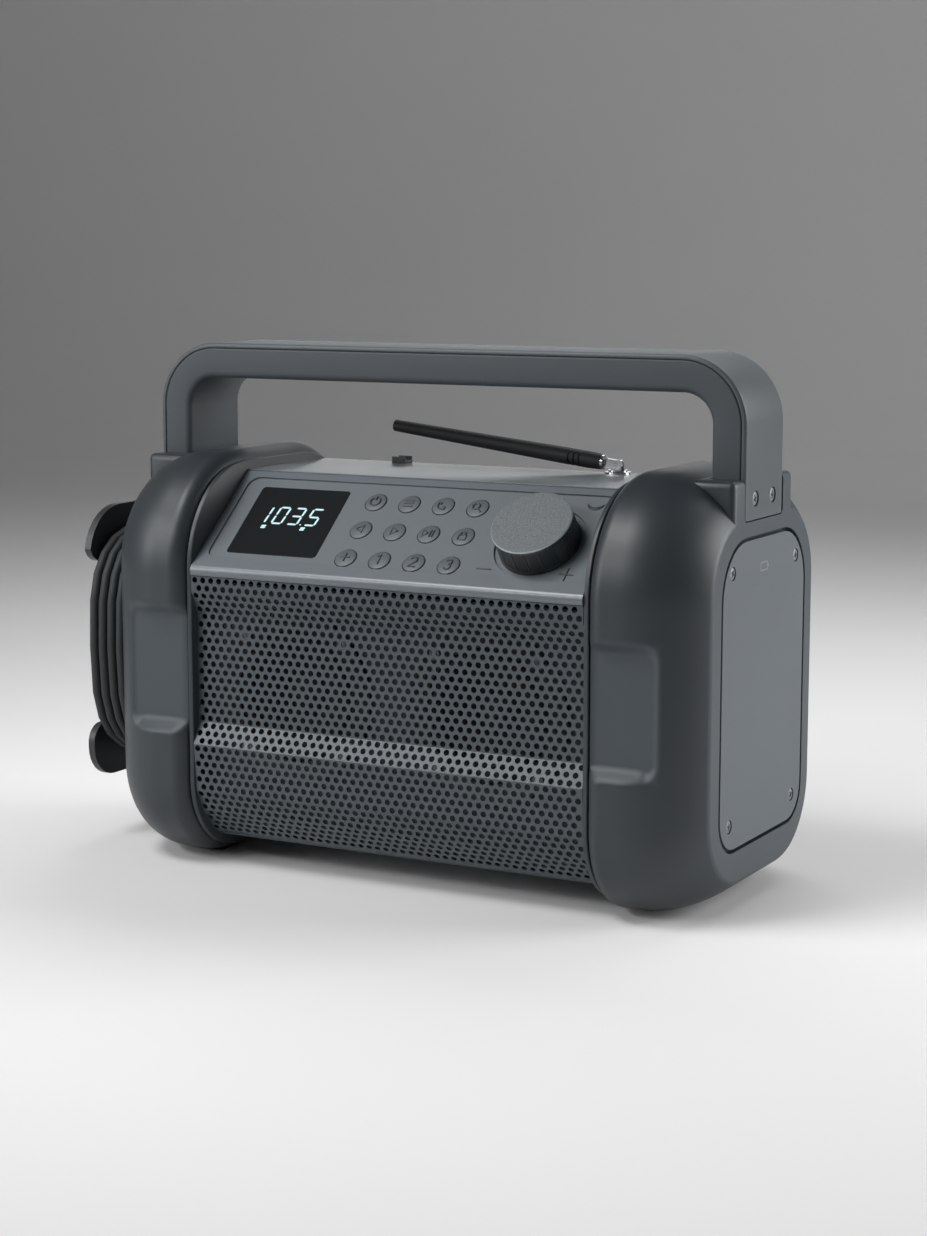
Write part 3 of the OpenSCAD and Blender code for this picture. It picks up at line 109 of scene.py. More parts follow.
class RadioCapForm(bpy.types.PropertyGroup):
    """Sizes of the moulded end caps."""

    top_r: length_prop("Upper corner", "Upper corner radius of the cap outline", 57)
    low_r: length_prop("Lower corner", "Lower corner radius of the cap outline", 41)
    low_share: share_prop("Lower share", "Share of an inset taken off the lower corner radius", 0.2)
    low_rise: share_prop("Lower rise", "Share of an inset that lifts the lower edge", 0.6)
    end_r: length_prop("End curve", "Radius of the curve towards the outer end", 42)
    end_turn: FloatProperty(name="End turn", description="Turn of that curve where it meets the flat end",
                            default=math.radians(60), min=0, max=math.pi / 2, subtype="ANGLE")
    end_edge_r: length_prop("End edge", "Rounding of the flat end's edge", 4)
    end_shift: length_prop("End shift", "Shift of the flat end towards the rear", 2.5)
    lip_r: length_prop("Inner rounding", "Rounding of the inner edge", 8)
    ring_t: length_prop("Ring", "Thickness of the raised ring", 3)
    ring_inset: length_prop("Ring inset", "Inset of the raised ring", 5)
    ring_neck: length_prop("Ring neck", "Width of the groove beside the raised ring", 0.3)
    pocket_w: length_prop("Pocket width", "Width of the front pocket", 35.5)
    pocket_h: length_prop("Pocket height", "Height of the front pocket", 67)
    pocket_z: length_prop("Pocket middle", "Middle height of the front pocket", 102.5)
    pocket_edge: length_prop("Pocket edge", "Distance of the pocket from the inner edge", 1)
    pocket_depth: length_prop("Pocket depth", "Depth of the front pocket", 6)
    pocket_slope: length_prop("Pocket slope", "Run of the pocket's upper and lower slopes", 8)
    pocket_side: length_prop("Pocket side", "Run of the pocket's outer slope", 4)
    pocket_r: length_prop("Pocket corner", "Corner radius of the pocket", 9)
    block_d: length_prop("Block depth", "Depth of the handle block, front to rear", 73)
    block_in: length_prop("Block reach", "Distance of the block's inner face from the body's middle", 137.7)
    block_low: length_prop("Block foot", "Underside of the handle block", 175)
    block_top: length_prop("Block top", "Top of the handle block", 206)
    block_r: length_prop("Block rounding", "Rounding of the block's edges", 3)


class RadioHandleForm(bpy.types.PropertyGroup):
    """Sizes of the carrying handle."""

    bend_r: length_prop("Bend", "Outer corner radius of the strap", 33)
    edge_r: length_prop("Inner edge", "Rounding of the strap's inner edges", 3.5)
    band_edge_r: length_prop("Band edge", "Rounding of the band's outer edges", 1.6)
    corner_r: length_prop("Leg corner", "Rounding of the legs' lower corners", 2.6)
    seat_t: length_prop("Screw seat", "Depth of the screw seats in the band", 1.7)
    seam_r: length_prop("Seam edge", "Rounding along the seam of band and frame", 0.8)
    strap_t: length_prop("Strap", "Thickness of the whole strap", 18)
    band_t: length_prop("Band", "Thickness of the outer band", 2.6)
    seam: length_prop("Seam", "Gap between band and frame", 0.15)
    fit: length_prop("Fit", "Gap round the leg in its socket", 0.6)


class RadioLeadForm(bpy.types.PropertyGroup):
    """Sizes of the wound mains lead."""

    diameter: length_prop("Diameter", "Diameter of the lead", 5)
    turns: IntProperty(name="Turns", description="Turns on the hooks", default=4, min=2, max=4)
    pitch: length_prop("Pitch", "Step from turn to turn", 5.6)
    half_w: length_prop("Half width", "Half width of a turn", 56)
    half_h: length_prop("Half height", "Half height of a turn", 60)
    middle: length_prop("Middle", "Height of the winding's middle", 104.5)
    first: length_prop("First turn", "Distance of the first turn from the body's middle", 168)


class RadioColours(bpy.types.PropertyGroup):
    """Colours of the finishes."""

    cap: colour_prop("Caps", "Moulded end caps", (0.023, 0.029, 0.0345))
    cabinet: colour_prop("Cabinet", "Rear cabinet", (0.043, 0.053, 0.062))
    deck: colour_prop("Deck", "Top deck", (0.088, 0.104, 0.116))
    panel: colour_prop("Panel", "Control panel", (0.086, 0.102, 0.115))
    key: colour_prop("Keys", "Panel keys", (0.086, 0.102, 0.115))
    mark: colour_prop("Marks", "Raised signs", (0.03, 0.034, 0.037))
    sign: colour_prop("Print", "Pale sign on the cover", (0.3, 0.32, 0.33))
    cover: colour_prop("Cover", "Battery cover", (0.098, 0.114, 0.1265))
    handle: colour_prop("Handle", "Handle frame", (0.046, 0.0555, 0.064))
    band: colour_prop("Band", "Handle band", (0.066, 0.078, 0.0875))
    grille: colour_prop("Grille", "Perforated sheet", (0.035, 0.0435, 0.051))
    knob: colour_prop("Knob top", "Cap of the volume knob", (0.125, 0.142, 0.153))
    black: colour_prop("Black", "Black moulded parts", (0.018, 0.02, 0.0225))
    rubber: colour_prop("Rubber", "Rubber parts", (0.016, 0.0175, 0.0195))
    digits: colour_prop("Digits", "Lit segments of the display", (0.62, 0.93, 1.0))


class RadioSettings(bpy.types.PropertyGroup):
    """All settings of the dress."""

    cap: PointerProperty(type=RadioCapForm)
    handle: PointerProperty(type=RadioHandleForm)
    lead: PointerProperty(type=RadioLeadForm)
    colours: PointerProperty(type=RadioColours)


def settings():
    return bpy.context.scene.radio_dress


# Shader nodes


class Value:
    """A socket in a node tree; arithmetic on it adds Math nodes."""

    def __init__(self, look, socket):
        self.look = look
        self.socket = socket

    def __add__(self, other):
        return self.look.math("ADD", self, other)

    def __radd__(self, other):
        return self.look.math("ADD", other, self)

    def __sub__(self, other):
        return self.look.math("SUBTRACT", self, other)

    def __rsub__(self, other):
        return self.look.math("SUBTRACT", other, self)

    def __mul__(self, other):
        return self.look.math("MULTIPLY", self, other)

    def __rmul__(self, other):
        return self.look.math("MULTIPLY", other, self)

    def __abs__(self):
        return self.look.math("ABSOLUTE", self)


class Look:
    """One material and its node tree."""

    # Pointiness at which wear begins and at which it is full
    worn = (0.52, 0.62)

    def __init__(self, name):
        self.material = bpy.data.materials.new(name)
        self.material.use_nodes = True
        self.tree = self.material.node_tree
        self.tree.nodes.clear()

    def node(self, kind, options=None, inputs=None, out=0):
        """Adds a node: its settings first, then the values or links of its sockets."""
        made = self.tree.nodes.new(kind)
        for key, value in (options or {}).items():
            setattr(made, key, value)
        for key, value in (inputs or {}).items():
            if isinstance(value, Value):
                self.tree.links.new(value.socket, made.inputs[key])
            else:
                made.inputs[key].default_value = value
        return Value(self, made.outputs[out]) if made.outputs else None

    def math(self, operation, *values):
        return self.node("ShaderNodeMath", {"operation": operation}, dict(enumerate(values)))

    def place(self):
        return self.node("ShaderNodeTexCoord", out="Object")

    def noise(self, scale, detail=2.0):
        return self.node("ShaderNodeTexNoise", inputs={"Vector": self.place(), "Scale": scale, "Detail": detail})

    def along(self, direction):
        """Distance from the origin along a direction."""
        return self.node("ShaderNodeVectorMath", {"operation": "DOT_PRODUCT"},
                         {0: self.place(), 1: tuple(direction)}, out="Value")

    def frame(self, across, up, half_w, half_h):
        """Signed distance from the outline of a rectangle round the origin of two values."""
        return self.math("MAXIMUM", abs(across) - half_w, abs(up) - half_h)

    def mix(self, factor, a, b):
        """Mixes two colours by a factor."""
        return self.node("ShaderNodeMix", {"data_type": "RGBA"}, {0: factor, 6: a, 7: b}, out=2)

    def shade(self, tone, colour, *areas):
        """Lays areas over a tone, each with its factor and the gain of the colour there."""
        for factor, gain in areas:
            tone = self.mix(factor, tone, rgba(colour, gain))
        return tone

    def ramp(self, value, low, high):
        """Stretches a value from low..high to 0..1."""
        return self.node("ShaderNodeMapRange", {"interpolation_type": "SMOOTHSTEP"},
                         {0: value, 1: low, 2: high, 3: 0.0, 4: 1.0})

    def bump(self, height, depth, strength=1.0):
        return self.node("ShaderNodeBump", inputs={"Height": height, "Distance": depth, "Strength": strength})

    def edges(self):
        """Worn ridges: 1 where the surface is sharply convex."""
        return self.ramp(self.node("ShaderNodeNewGeometry", out="Pointiness"), *self.worn)

    def finish(self, **inputs):
        """Closes the tree with a Principled shader."""
        named = {key.replace("_", " ").title().replace("Ior", "IOR"): value for key, value in inputs.items()}
        shader = self.node("ShaderNodeBsdfPrincipled", inputs=named)
        self.node("ShaderNodeOutputMaterial", inputs={"Surface": shader})
        return self.material


def rgba(colour, gain=1.0):
    return (*(min(1.0, c * gain) for c in colour), 1.0)


def grained(look, colour, grain, flecks=0.35, fleck_gain=1.3):
    """Clouds, fine grain and tone of a textured moulding."""
    cloud = look.noise(18.0, 3.0)
    fine = look.noise(grain, 2.0)
    tone = look.mix(cloud, rgba(colour, 0.9), rgba(colour, 1.1))
    return cloud, fine, look.shade(tone, colour, (fine * flecks, fleck_gain))


def moulded(name, colour, rough=0.46, edge=1.6, shine=0.5, grain=2600.0, depth=0.03 * MM):
    """Textured moulded plastic: spark-eroded grain, faint shade changes, lighter worn ridges."""
    look = Look(name)
    cloud, fine, tone = grained(look, colour, grain)
    tone = look.shade(tone, colour, (look.edges() * 0.5, edge))
    return look.finish(base_color=tone, roughness=rough - 0.06 + 0.12 * cloud + 0.05 * fine,
                       normal=look.bump(fine, depth, 0.7), specular_ior_level=shine)


def cap_shell(name, colour, form):
    """Dark grained plastic with painted light: the floors of the pockets and the flat ends are painted paler, where
    light falls on them; the pocket floors are also rougher.
    """
    look = Look(name)
    cloud, fine, tone = grained(look, colour, 1500.0, 0.4, 1.4)
    # Painted light: the pocket mask below paints the pocket floors paler, as lit by the lamps, and also makes them
    # rougher
    middle = RING_X + form.ring_t + form.pocket_edge + form.pocket_w / 2
    out = abs(look.along((1, 0, 0)) - MID_X)
    edge = look.frame(out - middle, look.along((0, 0, 1)) - form.pocket_z, form.pocket_w / 2, form.pocket_h / 2)
    front = 1 - look.ramp(look.along((0, 1, 0)), -0.85 * HALF_D, -0.8 * HALF_D)
    pocket = (1 - look.ramp(edge, -4 * MM, 0.5 * MM)) * front
    # Painted highlight: the flat ends and the last of their rounded edges are painted paler, as where the side light
    # falls on the end rim
    painted_end_light = look.ramp(out, HALF_L - 1.2 * MM, HALF_L - 0.4 * MM)
    tone = look.shade(tone, colour, (pocket * 0.8, 2.1), (painted_end_light * 0.8, 2.3), (look.edges() * 0.5, 1.7))
    return look.finish(base_color=tone, roughness=0.37 + 0.06 * cloud + 0.06 * fine + 0.06 * pocket,
                       normal=look.bump(fine, 0.02 * MM, 0.7), specular_ior_level=0.55)


def cover_face(name, colour, sign):
    """Grained cover with the outline of a cell printed near its top."""
    look = Look(name)
    cloud, fine, tone = grained(look, colour, 1500.0)
    mid_y, mid_z, half_w, half_h = CELL_SIGN
    across, up = look.along((0, 1, 0)) - mid_y, look.along((0, 0, 1)) - mid_z
    edge = abs(look.frame(across, up, half_w, half_h))
    cap = look.frame(across - (half_w + 0.9 * MM), up, 0.4 * MM, 0.45 * half_h)
    mark = (1 - look.ramp(edge, 0.2 * MM, 0.45 * MM)) + (1 - look.ramp(cap, 0.0, 0.2 * MM))
    tone = look.shade(tone, colour, (look.edges() * 0.5, 1.6))
    return look.finish(base_color=look.mix(mark * 0.55, tone, rgba(sign)),
                       roughness=0.44 + 0.12 * cloud + 0.05 * fine,
                       normal=look.bump(fine, 0.04 * MM, 0.7), specular_ior_level=0.5)


def sanded_disc(name, colour, side, top):
    """Sand-blasted top of the knob above a black side, with a painted highlight round its smoother top edge."""
    look = Look(name)
    depth = top - look.along(PANEL_N)
    # Painted highlight: a thin ring at the top edge is painted bright; it is also smoother there
    edge = look.ramp(depth, 0.04 * MM, 0.12 * MM)
    skirt = look.ramp(depth, 0.5 * MM, 0.65 * MM)
    sand = look.ramp(look.noise(1500.0, 3.0), 0.3, 0.7)
    tone = look.mix(sand, rgba(colour, 0.68), rgba(colour, 1.3))
    tone = look.shade(tone, colour, (look.noise(60.0, 2.0) * 0.3, 1.15), (edge, 2.6))
    return look.finish(base_color=look.mix(skirt, tone, rgba(side)), roughness=0.34 + 0.16 * sand - 0.1 * edge,
                       normal=look.bump(sand * (1 - edge), 0.05 * MM, 0.8), specular_ior_level=0.7)


def panel_face(name, colour):
    """Grained panel field inside a smoother, polished rim and nose, which are also painted paler as a painted
    highlight.
    """
    look = Look(name)
    cloud = look.noise(18.0, 3.0)
    fine = look.noise(2000.0, 2.0)
    height = look.along(PANEL_N) - PANEL_ORIGIN.dot(PANEL_N)
    slope = look.along(PANEL_V) - PANEL_ORIGIN.dot(PANEL_V)
    field = look.ramp(slope, 5.2 * MM, 6.2 * MM) * (1 - look.ramp(height, -0.7 * MM, -0.3 * MM))
    tone = look.mix(cloud, rgba(colour, 0.92), rgba(colour, 1.08))
    # Painted highlight: outside the field, the rim and nose are painted paler; the grain flecks lie on the field only
    tone = look.shade(tone, colour, (fine * field * 0.6, 1.5), ((1 - field) * 0.6, 1.5))
    return look.finish(base_color=tone, roughness=0.3 + 0.2 * field + 0.06 * cloud,
                       normal=look.bump(fine * field, 0.05 * MM, 0.8), specular_ior_level=0.8)


def painted_sheet(name, colour):
    """Powder-coated steel with orange-peel."""
    look = Look(name)
    peel = look.noise(900.0, 2.0)
    cloud = look.noise(30.0, 2.0)
    tone = look.mix(cloud, rgba(colour, 0.88), rgba(colour, 1.12))
    tone = look.mix(look.edges() * 0.6, tone, rgba(colour, 1.9))
    return look.finish(base_color=tone, metallic=0.2, roughness=0.34 + 0.1 * peel, specular_ior_level=0.7,
                       normal=look.bump(peel, 0.03 * MM, 0.6))


def turned_metal(name, colour, rough):
    """Bright metal with faint smudges."""
    look = Look(name)
    smudge = look.noise(160.0, 4.0)
    tone = look.mix(smudge, rgba(colour, 0.92), rgba(colour))
    return look.finish(base_color=tone, metallic=1.0, roughness=rough + 0.1 * smudge,
                       normal=look.bump(look.noise(1800.0), 0.004 * MM, 0.4))


def soft_rubber(name, colour):
    """Matt rubber with dust."""
    look = Look(name)
    dust = look.ramp(look.noise(420.0, 4.0), 0.5, 0.8)
    tone = look.mix(dust * 0.3, rgba(colour), rgba(colour, 2.2))
    return look.finish(base_color=tone, roughness=0.62 + 0.12 * dust,
                       normal=look.bump(look.noise(2200.0), 0.02 * MM, 0.6))


def display_glass(name):
    """Glossy dark window with a trace of dust."""
    look = Look(name)
    dust = look.ramp(look.noise(500.0, 5.0), 0.62, 0.85)
    tone = look.mix(dust * 0.2, (0.0135, 0.0155, 0.0175, 1), (0.05, 0.05, 0.052, 1))
    return look.finish(base_color=tone, roughness=0.16 + 0.12 * dust, specular_ior_level=0.3)


def lit_segment(name, colour):
    """Glowing display segment, a little uneven along its length."""
    look = Look(name)
    uneven = look.noise(900.0)
    glow = look.mix(uneven, rgba(colour, 0.8), rgba(colour, 1.1))
    return look.finish(base_color=(0.02, 0.02, 0.02, 1), emission_color=glow, emission_strength=1.0, roughness=0.4)


def circuit_board(name, colour):
    """Solder mask over copper tracks."""
    look = Look(name)
    tracks = look.node("ShaderNodeTexBrick", {"offset": 0.5},
                       {"Vector": look.place(), "Scale": 90.0, "Mortar Size": 0.08}, out=1)
    tone = look.mix(tracks, rgba(colour), rgba(colour, 1.8))
    return look.finish(base_color=tone, roughness=0.3 + 0.2 * look.noise(300.0), normal=look.bump(tracks, 0.03 * MM))


def paper_cone(name):
    """Pressed paper with fibres."""
    look = Look(name)
    fibre = look.noise(1400.0, 6.0)
    tone = look.mix(fibre, (0.016, 0.016, 0.017, 1), (0.04, 0.04, 0.042, 1))
    return look.finish(base_color=tone, roughness=0.8 + 0.1 * fibre, normal=look.bump(fibre, 0.05 * MM))


def make_looks():
    """One finish for each of the record's material slots, plus those of the added marks."""
    c = settings().colours
    recipes = {
        "cap_plastic": (cap_shell, c.cap, settings().cap),
        "cabinet_plastic": (moulded, c.cabinet),
        "deck_plastic": (moulded, c.deck, 0.3, 1.6, 0.7),
        "panel_plastic": (panel_face, c.panel),
        "cover_plastic": (cover_face, c.cover, c.sign),
        "handle_plastic": (moulded, c.handle, 0.52, 1.6, 0.5, 1500.0, 0.05 * MM),
        "band_plastic": (moulded, c.band, 0.42),
        "key_plastic": (moulded, c.key, 0.4),
        "knob_cap": (sanded_disc, c.knob, c.black, KNOB_TOP),
        "black_plastic": (moulded, c.black, 0.4, 3.0),
        "hook_plastic": (moulded, c.black, 0.38, 3.0),
        "plug_plastic": (moulded, c.black, 0.42, 3.0),
        "lead_sheath": (soft_rubber, c.black),
        "display_gloss": (display_glass,),
        "grille_steel": (painted_sheet, c.grille),
        "screw_steel": (turned_metal, (0.26, 0.275, 0.29), 0.4),
        "encoder_metal": (turned_metal, (0.6, 0.6, 0.62), 0.35),
        "chrome": (turned_metal, (0.75, 0.76, 0.78), 0.1),
        "contact_metal": (turned_metal, (0.72, 0.68, 0.56), 0.2),
        "cell_case": (painted_sheet, (0.2, 0.22, 0.26)),
        "basket_metal": (painted_sheet, (0.025, 0.025, 0.026)),
        "magnet": (turned_metal, (0.1, 0.1, 0.105), 0.6),
        "cone": (paper_cone,),
        "rubber": (soft_rubber, c.rubber),
        "board": (circuit_board, (0.012, 0.08, 0.04)),
        "supply": (circuit_board, (0.16, 0.09, 0.035)),
        "mark": (moulded, c.mark, 0.4),
        "digits": (lit_segment, c.digits),
    }
    return {name: make(name, *values) for name, (make, *values) in recipes.items()}


LOOKS = {}


# Mesh helpers


def linked(name, data):
    """A new object in the scene."""
    made = bpy.data.objects.new(name, data)
    bpy.context.scene.collection.objects.link(made)
    return made


def add_piece(name, data, look, body, replaces=()):
    """Links a mesh or curve as a piece that rides on a body and stands for CAD nodes."""
    piece = linked(name, data)
    data.materials.clear()
    data.materials.append(LOOKS[look])
    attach(piece, body)
    if replaces:
        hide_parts(*replaces)
    return piece


def baked(piece):
    """Puts the result of a piece's modifiers into its own mesh."""
    shaped = piece.evaluated_get(bpy.context.evaluated_depsgraph_get())
    mesh = bpy.data.meshes.new_from_object(shaped)
    piece.modifiers.clear()
    piece.data = mesh
    return piece


def mesh_from(name, bm):
    bmesh.ops.recalc_face_normals(bm, faces=bm.faces)
    mesh = bpy.data.meshes.new(name)
    bm.to_mesh(mesh)
    bm.free()
    return mesh


def stand_in(node, suffix, bm):
    """A piece that stands for a CAD node, in its slot and on its body."""
    return add_piece(node + suffix, mesh_from(node, bm), SLOT_OF[node], BODY_OF[node], [node])


def smooth(mesh, degrees):
    for face in mesh.polygons:
        face.use_smooth = True
    mesh.set_sharp_from_angle(angle=math.radians(degrees))


def combine(piece, bm, operation="DIFFERENCE"):
    """Cuts a helper solid out of a piece, or joins it on, and removes the helper."""
    tool = linked("tool", mesh_from("tool", bm))
    step = piece.modifiers.new("combine", "BOOLEAN")
    step.operation, step.solver, step.object = operation, "EXACT", tool
    baked(piece)
    mesh = tool.data
    bpy.data.objects.remove(tool)
    bpy.data.meshes.remove(mesh)


def loft(rings, bm=None):
    """A closed skin through rings of equal point counts, in a mesh of its own or added to one."""
    bm = bmesh.new() if bm is None else bm
    rows = [[bm.verts.new(p) for p in ring] for ring in rings]
    for a, b in zip(rows, rows[1:]):
        for k in range(len(a)):
            n = (k + 1) % len(a)
            bm.faces.new((a[k], a[n], b[n], b[k]))
    bm.faces.new(rows[0])
    bm.faces.new(rows[-1])
    return bm


def circle(steps):
    """Cosine and sine of equal steps round a circle."""
    return [(math.cos(2 * math.pi * i / steps), math.sin(2 * math.pi * i / steps)) for i in range(steps)]


def turned(centre, aim, side, up, profile, steps):
    """A turned solid; the profile gives distance along the aim and radius."""
    return loft([[centre + aim * reach + (side * c + up * s) * r for c, s in circle(steps)] for reach, r in profile])


def rod(r, depth, at, axis):
    """A round cutter with its middle at a point, tipped over from upright about the X or Y axis."""
    bm = bmesh.new()
    bmesh.ops.create_cone(bm, cap_ends=True, segments=40, radius1=r, radius2=r, depth=depth)
    bmesh.ops.transform(bm, matrix=Matrix.Translation(at) @ Matrix.Rotation(math.pi / 2, 4, axis), verts=bm.verts)
    return bm


def arc(y, z, r, first, last, steps):
    return [(y + r * math.cos(math.radians(first + (last - first) * i / steps)),
             z + r * math.sin(math.radians(first + (last - first) * i / steps))) for i in range(steps + 1)]


def between(a, b, count):
    """Points strictly between two points."""
    return [(a[0] + (b[0] - a[0]) * i / count, a[1] + (b[1] - a[1]) * i / count) for i in range(1, count)]


def prism(outline, low, high):
    """A solid from an outline in Y and Z, between two X values."""
    return loft([[(x, y, z) for y, z in outline] for x in (low, high)])


def box_bm(low, high):
    bm = bmesh.new()
    bmesh.ops.create_cube(bm, size=1.0)
    low, high = Vector(low), Vector(high)
    for v in bm.verts:
        v.co = (low + high) / 2 + Vector(v.co[i] * (high - low)[i] for i in range(3))
    return bm


def ease(t):
    t = max(0.0, min(1.0, t))
    return t * t * (3 - 2 * t)


def corner_cutter(y, z, out_y, out_z, r, ends, past=1 * MM):
    """Cutter that rounds one corner of an outline in Y and Z; out_y and out_z point out of the corner."""
    curve = [(y - out_y * r * (1 - math.sin(a)), z - out_z * r * (1 - math.cos(a)))
             for a in (math.pi / 2 * i / 8 for i in range(9))]
    return prism([(y + out_y * past, z + out_z * past), (y - out_y * r, z + out_z * past), *curve,
                  (y + out_y * past, z - out_z * r)], *ends)


def node_bm(node):
    """The mesh of a CAD node with its doubled points joined."""
    bm = bmesh.new()
    bm.from_mesh(NODES[node].data)
    bmesh.ops.remove_doubles(bm, verts=bm.verts, dist=1e-6)
    return bm


def dressed(node, width, segments=2, angle=30, cutters=()):
    """A bevelled, smooth-shaded copy of a CAD node that stands for it."""
    bm = node_bm(node)
    bmesh.ops.dissolve_limit(bm, angle_limit=math.radians(0.5), verts=bm.verts, edges=bm.edges)
    piece = stand_in(node, ".dress", bm)
    for cutter in cutters:
        combine(piece, cutter)
    smooth(piece.data, 180)
    bevel = piece.modifiers.new("edges", "BEVEL")
    bevel.width, bevel.segments, bevel.limit_method = width, segments, "ANGLE"
    bevel.angle_limit = math.radians(angle)
    bevel.use_clamp_overlap = True
    level = piece.modifiers.new("shading", "WEIGHTED_NORMAL")
    level.keep_sharp = False
    return baked(piece)


def loose_boxes(node):
    """Boxes of the separate solids in a CAD node."""
    bm = node_bm(node)
    left, boxes = dict.fromkeys(bm.verts), []
    while left:
        group, queue = set(), [left.popitem()[0]]
        while queue:
            v = queue.pop()
            group.add(v)
            for e in v.link_edges:
                other = e.other_vert(v)
                if other in left:
                    del left[other]
                    queue.append(other)
        boxes.append(tuple(Vector(f(v.co[i] for v in group) for i in range(3)) for f in (min, max)))
    bm.free()
    return boxes


def line_curve(name, paths, radius, resolution):
    """Round lines through lists of points; a path whose ends meet is closed."""
    curve = bpy.data.curves.new(name, "CURVE")
    curve.dimensions = "3D"
    curve.bevel_depth = radius
    curve.bevel_resolution = resolution
    curve.use_fill_caps = True
    for path in paths:
        closed = (path[0] - path[-1]).length < 1e-6
        points = path[:-1] if closed else path
        spline = curve.splines.new("POLY")
        spline.points.add(len(points) - 1)
        spline.use_cyclic_u = closed
        spline.use_smooth = True
        for point, at in zip(spline.points, points):
            point.co = (*at, 1)
    return curve


def strokes(name, paths, radius, body):
    """A raised sign of rounded lines."""
    return add_piece(name, line_curve(name, paths, radius, 2), "mark", body)


def on_panel(u, v, n=0.0):
    return PANEL_ORIGIN + PANEL_U * u + PANEL_V * v + PANEL_N * n


def panel_range(node, axis):
    """Least and greatest reach of a CAD node along one of the panel's axes."""
    reach = [(v.co - PANEL_ORIGIN).dot(axis) for v in NODES[node].data.vertices]
    return min(reach), max(reach)


def span(side, near, far):
    """X values, in rising order, of two distances from the body's middle on one side."""
    return sorted((MID_X + side * near, MID_X + side * far))


# Operators


class RadioOperator:
    """Options that all operators of the dress share."""

    bl_options = {"REGISTER"}


class RADIO_OT_camera(RadioOperator, bpy.types.Operator):
    """Puts up the camera of the product picture"""

    bl_idname = "radio.camera"
    bl_label = "Camera"

    target = Vector((17.31, 3.0, 125.74)) * MM
    distance = 1259.29 * MM
    azimuth = math.radians(28.66)
    elevation = math.radians(8.74)

    def execute(self, context):
        data = bpy.data.cameras.new("camera")
        data.sensor_fit = "VERTICAL"
        data.sensor_height = 36.0
        data.lens = 72.0
        camera = linked("camera", data)
        flat = math.cos(self.elevation)
        back = Vector((math.sin(self.azimuth) * flat, -math.cos(self.azimuth) * flat, math.sin(self.elevation)))
        right = Vector((math.cos(self.azimuth), math.sin(self.azimuth), 0))
        up = back.cross(right)
        turn = Matrix((right, up, back)).transposed().to_4x4()
        camera.matrix_world = Matrix.Translation(self.target + back * self.distance) @ turn
        context.scene.camera = camera
        return {"FINISHED"}


class RADIO_OT_lead(RadioOperator, bpy.types.Operator):
    """Winds the mains lead on its hooks, from the gland to the plug"""

    bl_idname = "radio.lead"
    bl_label = "Mains lead"

    # Route from the gland to the first turn and from the last turn to the plug: reach past the middle, y, z in mm
    lead_in = ((168, 14, 131), (168, 20, 131), (168, 27, 130.5), (168, 35, 129), (168, 43, 125),
               (168, 50, 118.5), (168, 54, 112))
    lead_out = ((190.4, 55, 97), (189.6, 51.5, 89.5), (187.5, 46, 84.5), (184, 40, 82), (180.5, 34, 81.5),
                (178.5, 29, 81.5), (178, 24, 81.5), (178, 18, 81.5))
    # Power of the rounded turns, points in a turn and fineness of the round section
    squareness = 3
    steps = 24
    roundness = 5

    def route(self, form):
        def power(v):
            return math.copysign(abs(v) ** (2 / self.squareness), v)

        def at(p):
            return Vector((MID_X - p[0] * MM, p[1] * MM, p[2] * MM))

        points = [at(p) for p in self.lead_in]
        for i in range(self.steps * form.turns + 1):
            a = -2 * math.pi * i / self.steps
            points.append(Vector((MID_X - form.first - form.pitch * i / self.steps,
                                  form.half_w * power(math.cos(a)),
                                  form.middle + form.half_h * power(math.sin(a)))))
        return points + [at(p) for p in self.lead_out]

    def execute(self, context):
        form = settings().lead
        points = self.route(form)
        curve = line_curve("mains_lead", [points], form.diameter / 2, self.roundness)
        piece = add_piece("mains_lead.wound", curve, "lead_sheath", HOUSING, ["mains_lead"])
        length = sum((b - a).length for a, b in zip(points, points[1:]))
        return {"FINISHED"}


class RADIO_OT_finishes(RadioOperator, bpy.types.Operator):
    """Gives every CAD node the finish of its material slot"""

    bl_idname = "radio.finishes"
    bl_label = "Finishes"

    def execute(self, context):
        for node, piece in NODES.items():
            piece.data.materials.clear()
            piece.data.materials.append(LOOKS[SLOT_OF[node]])
        return {"FINISHED"}


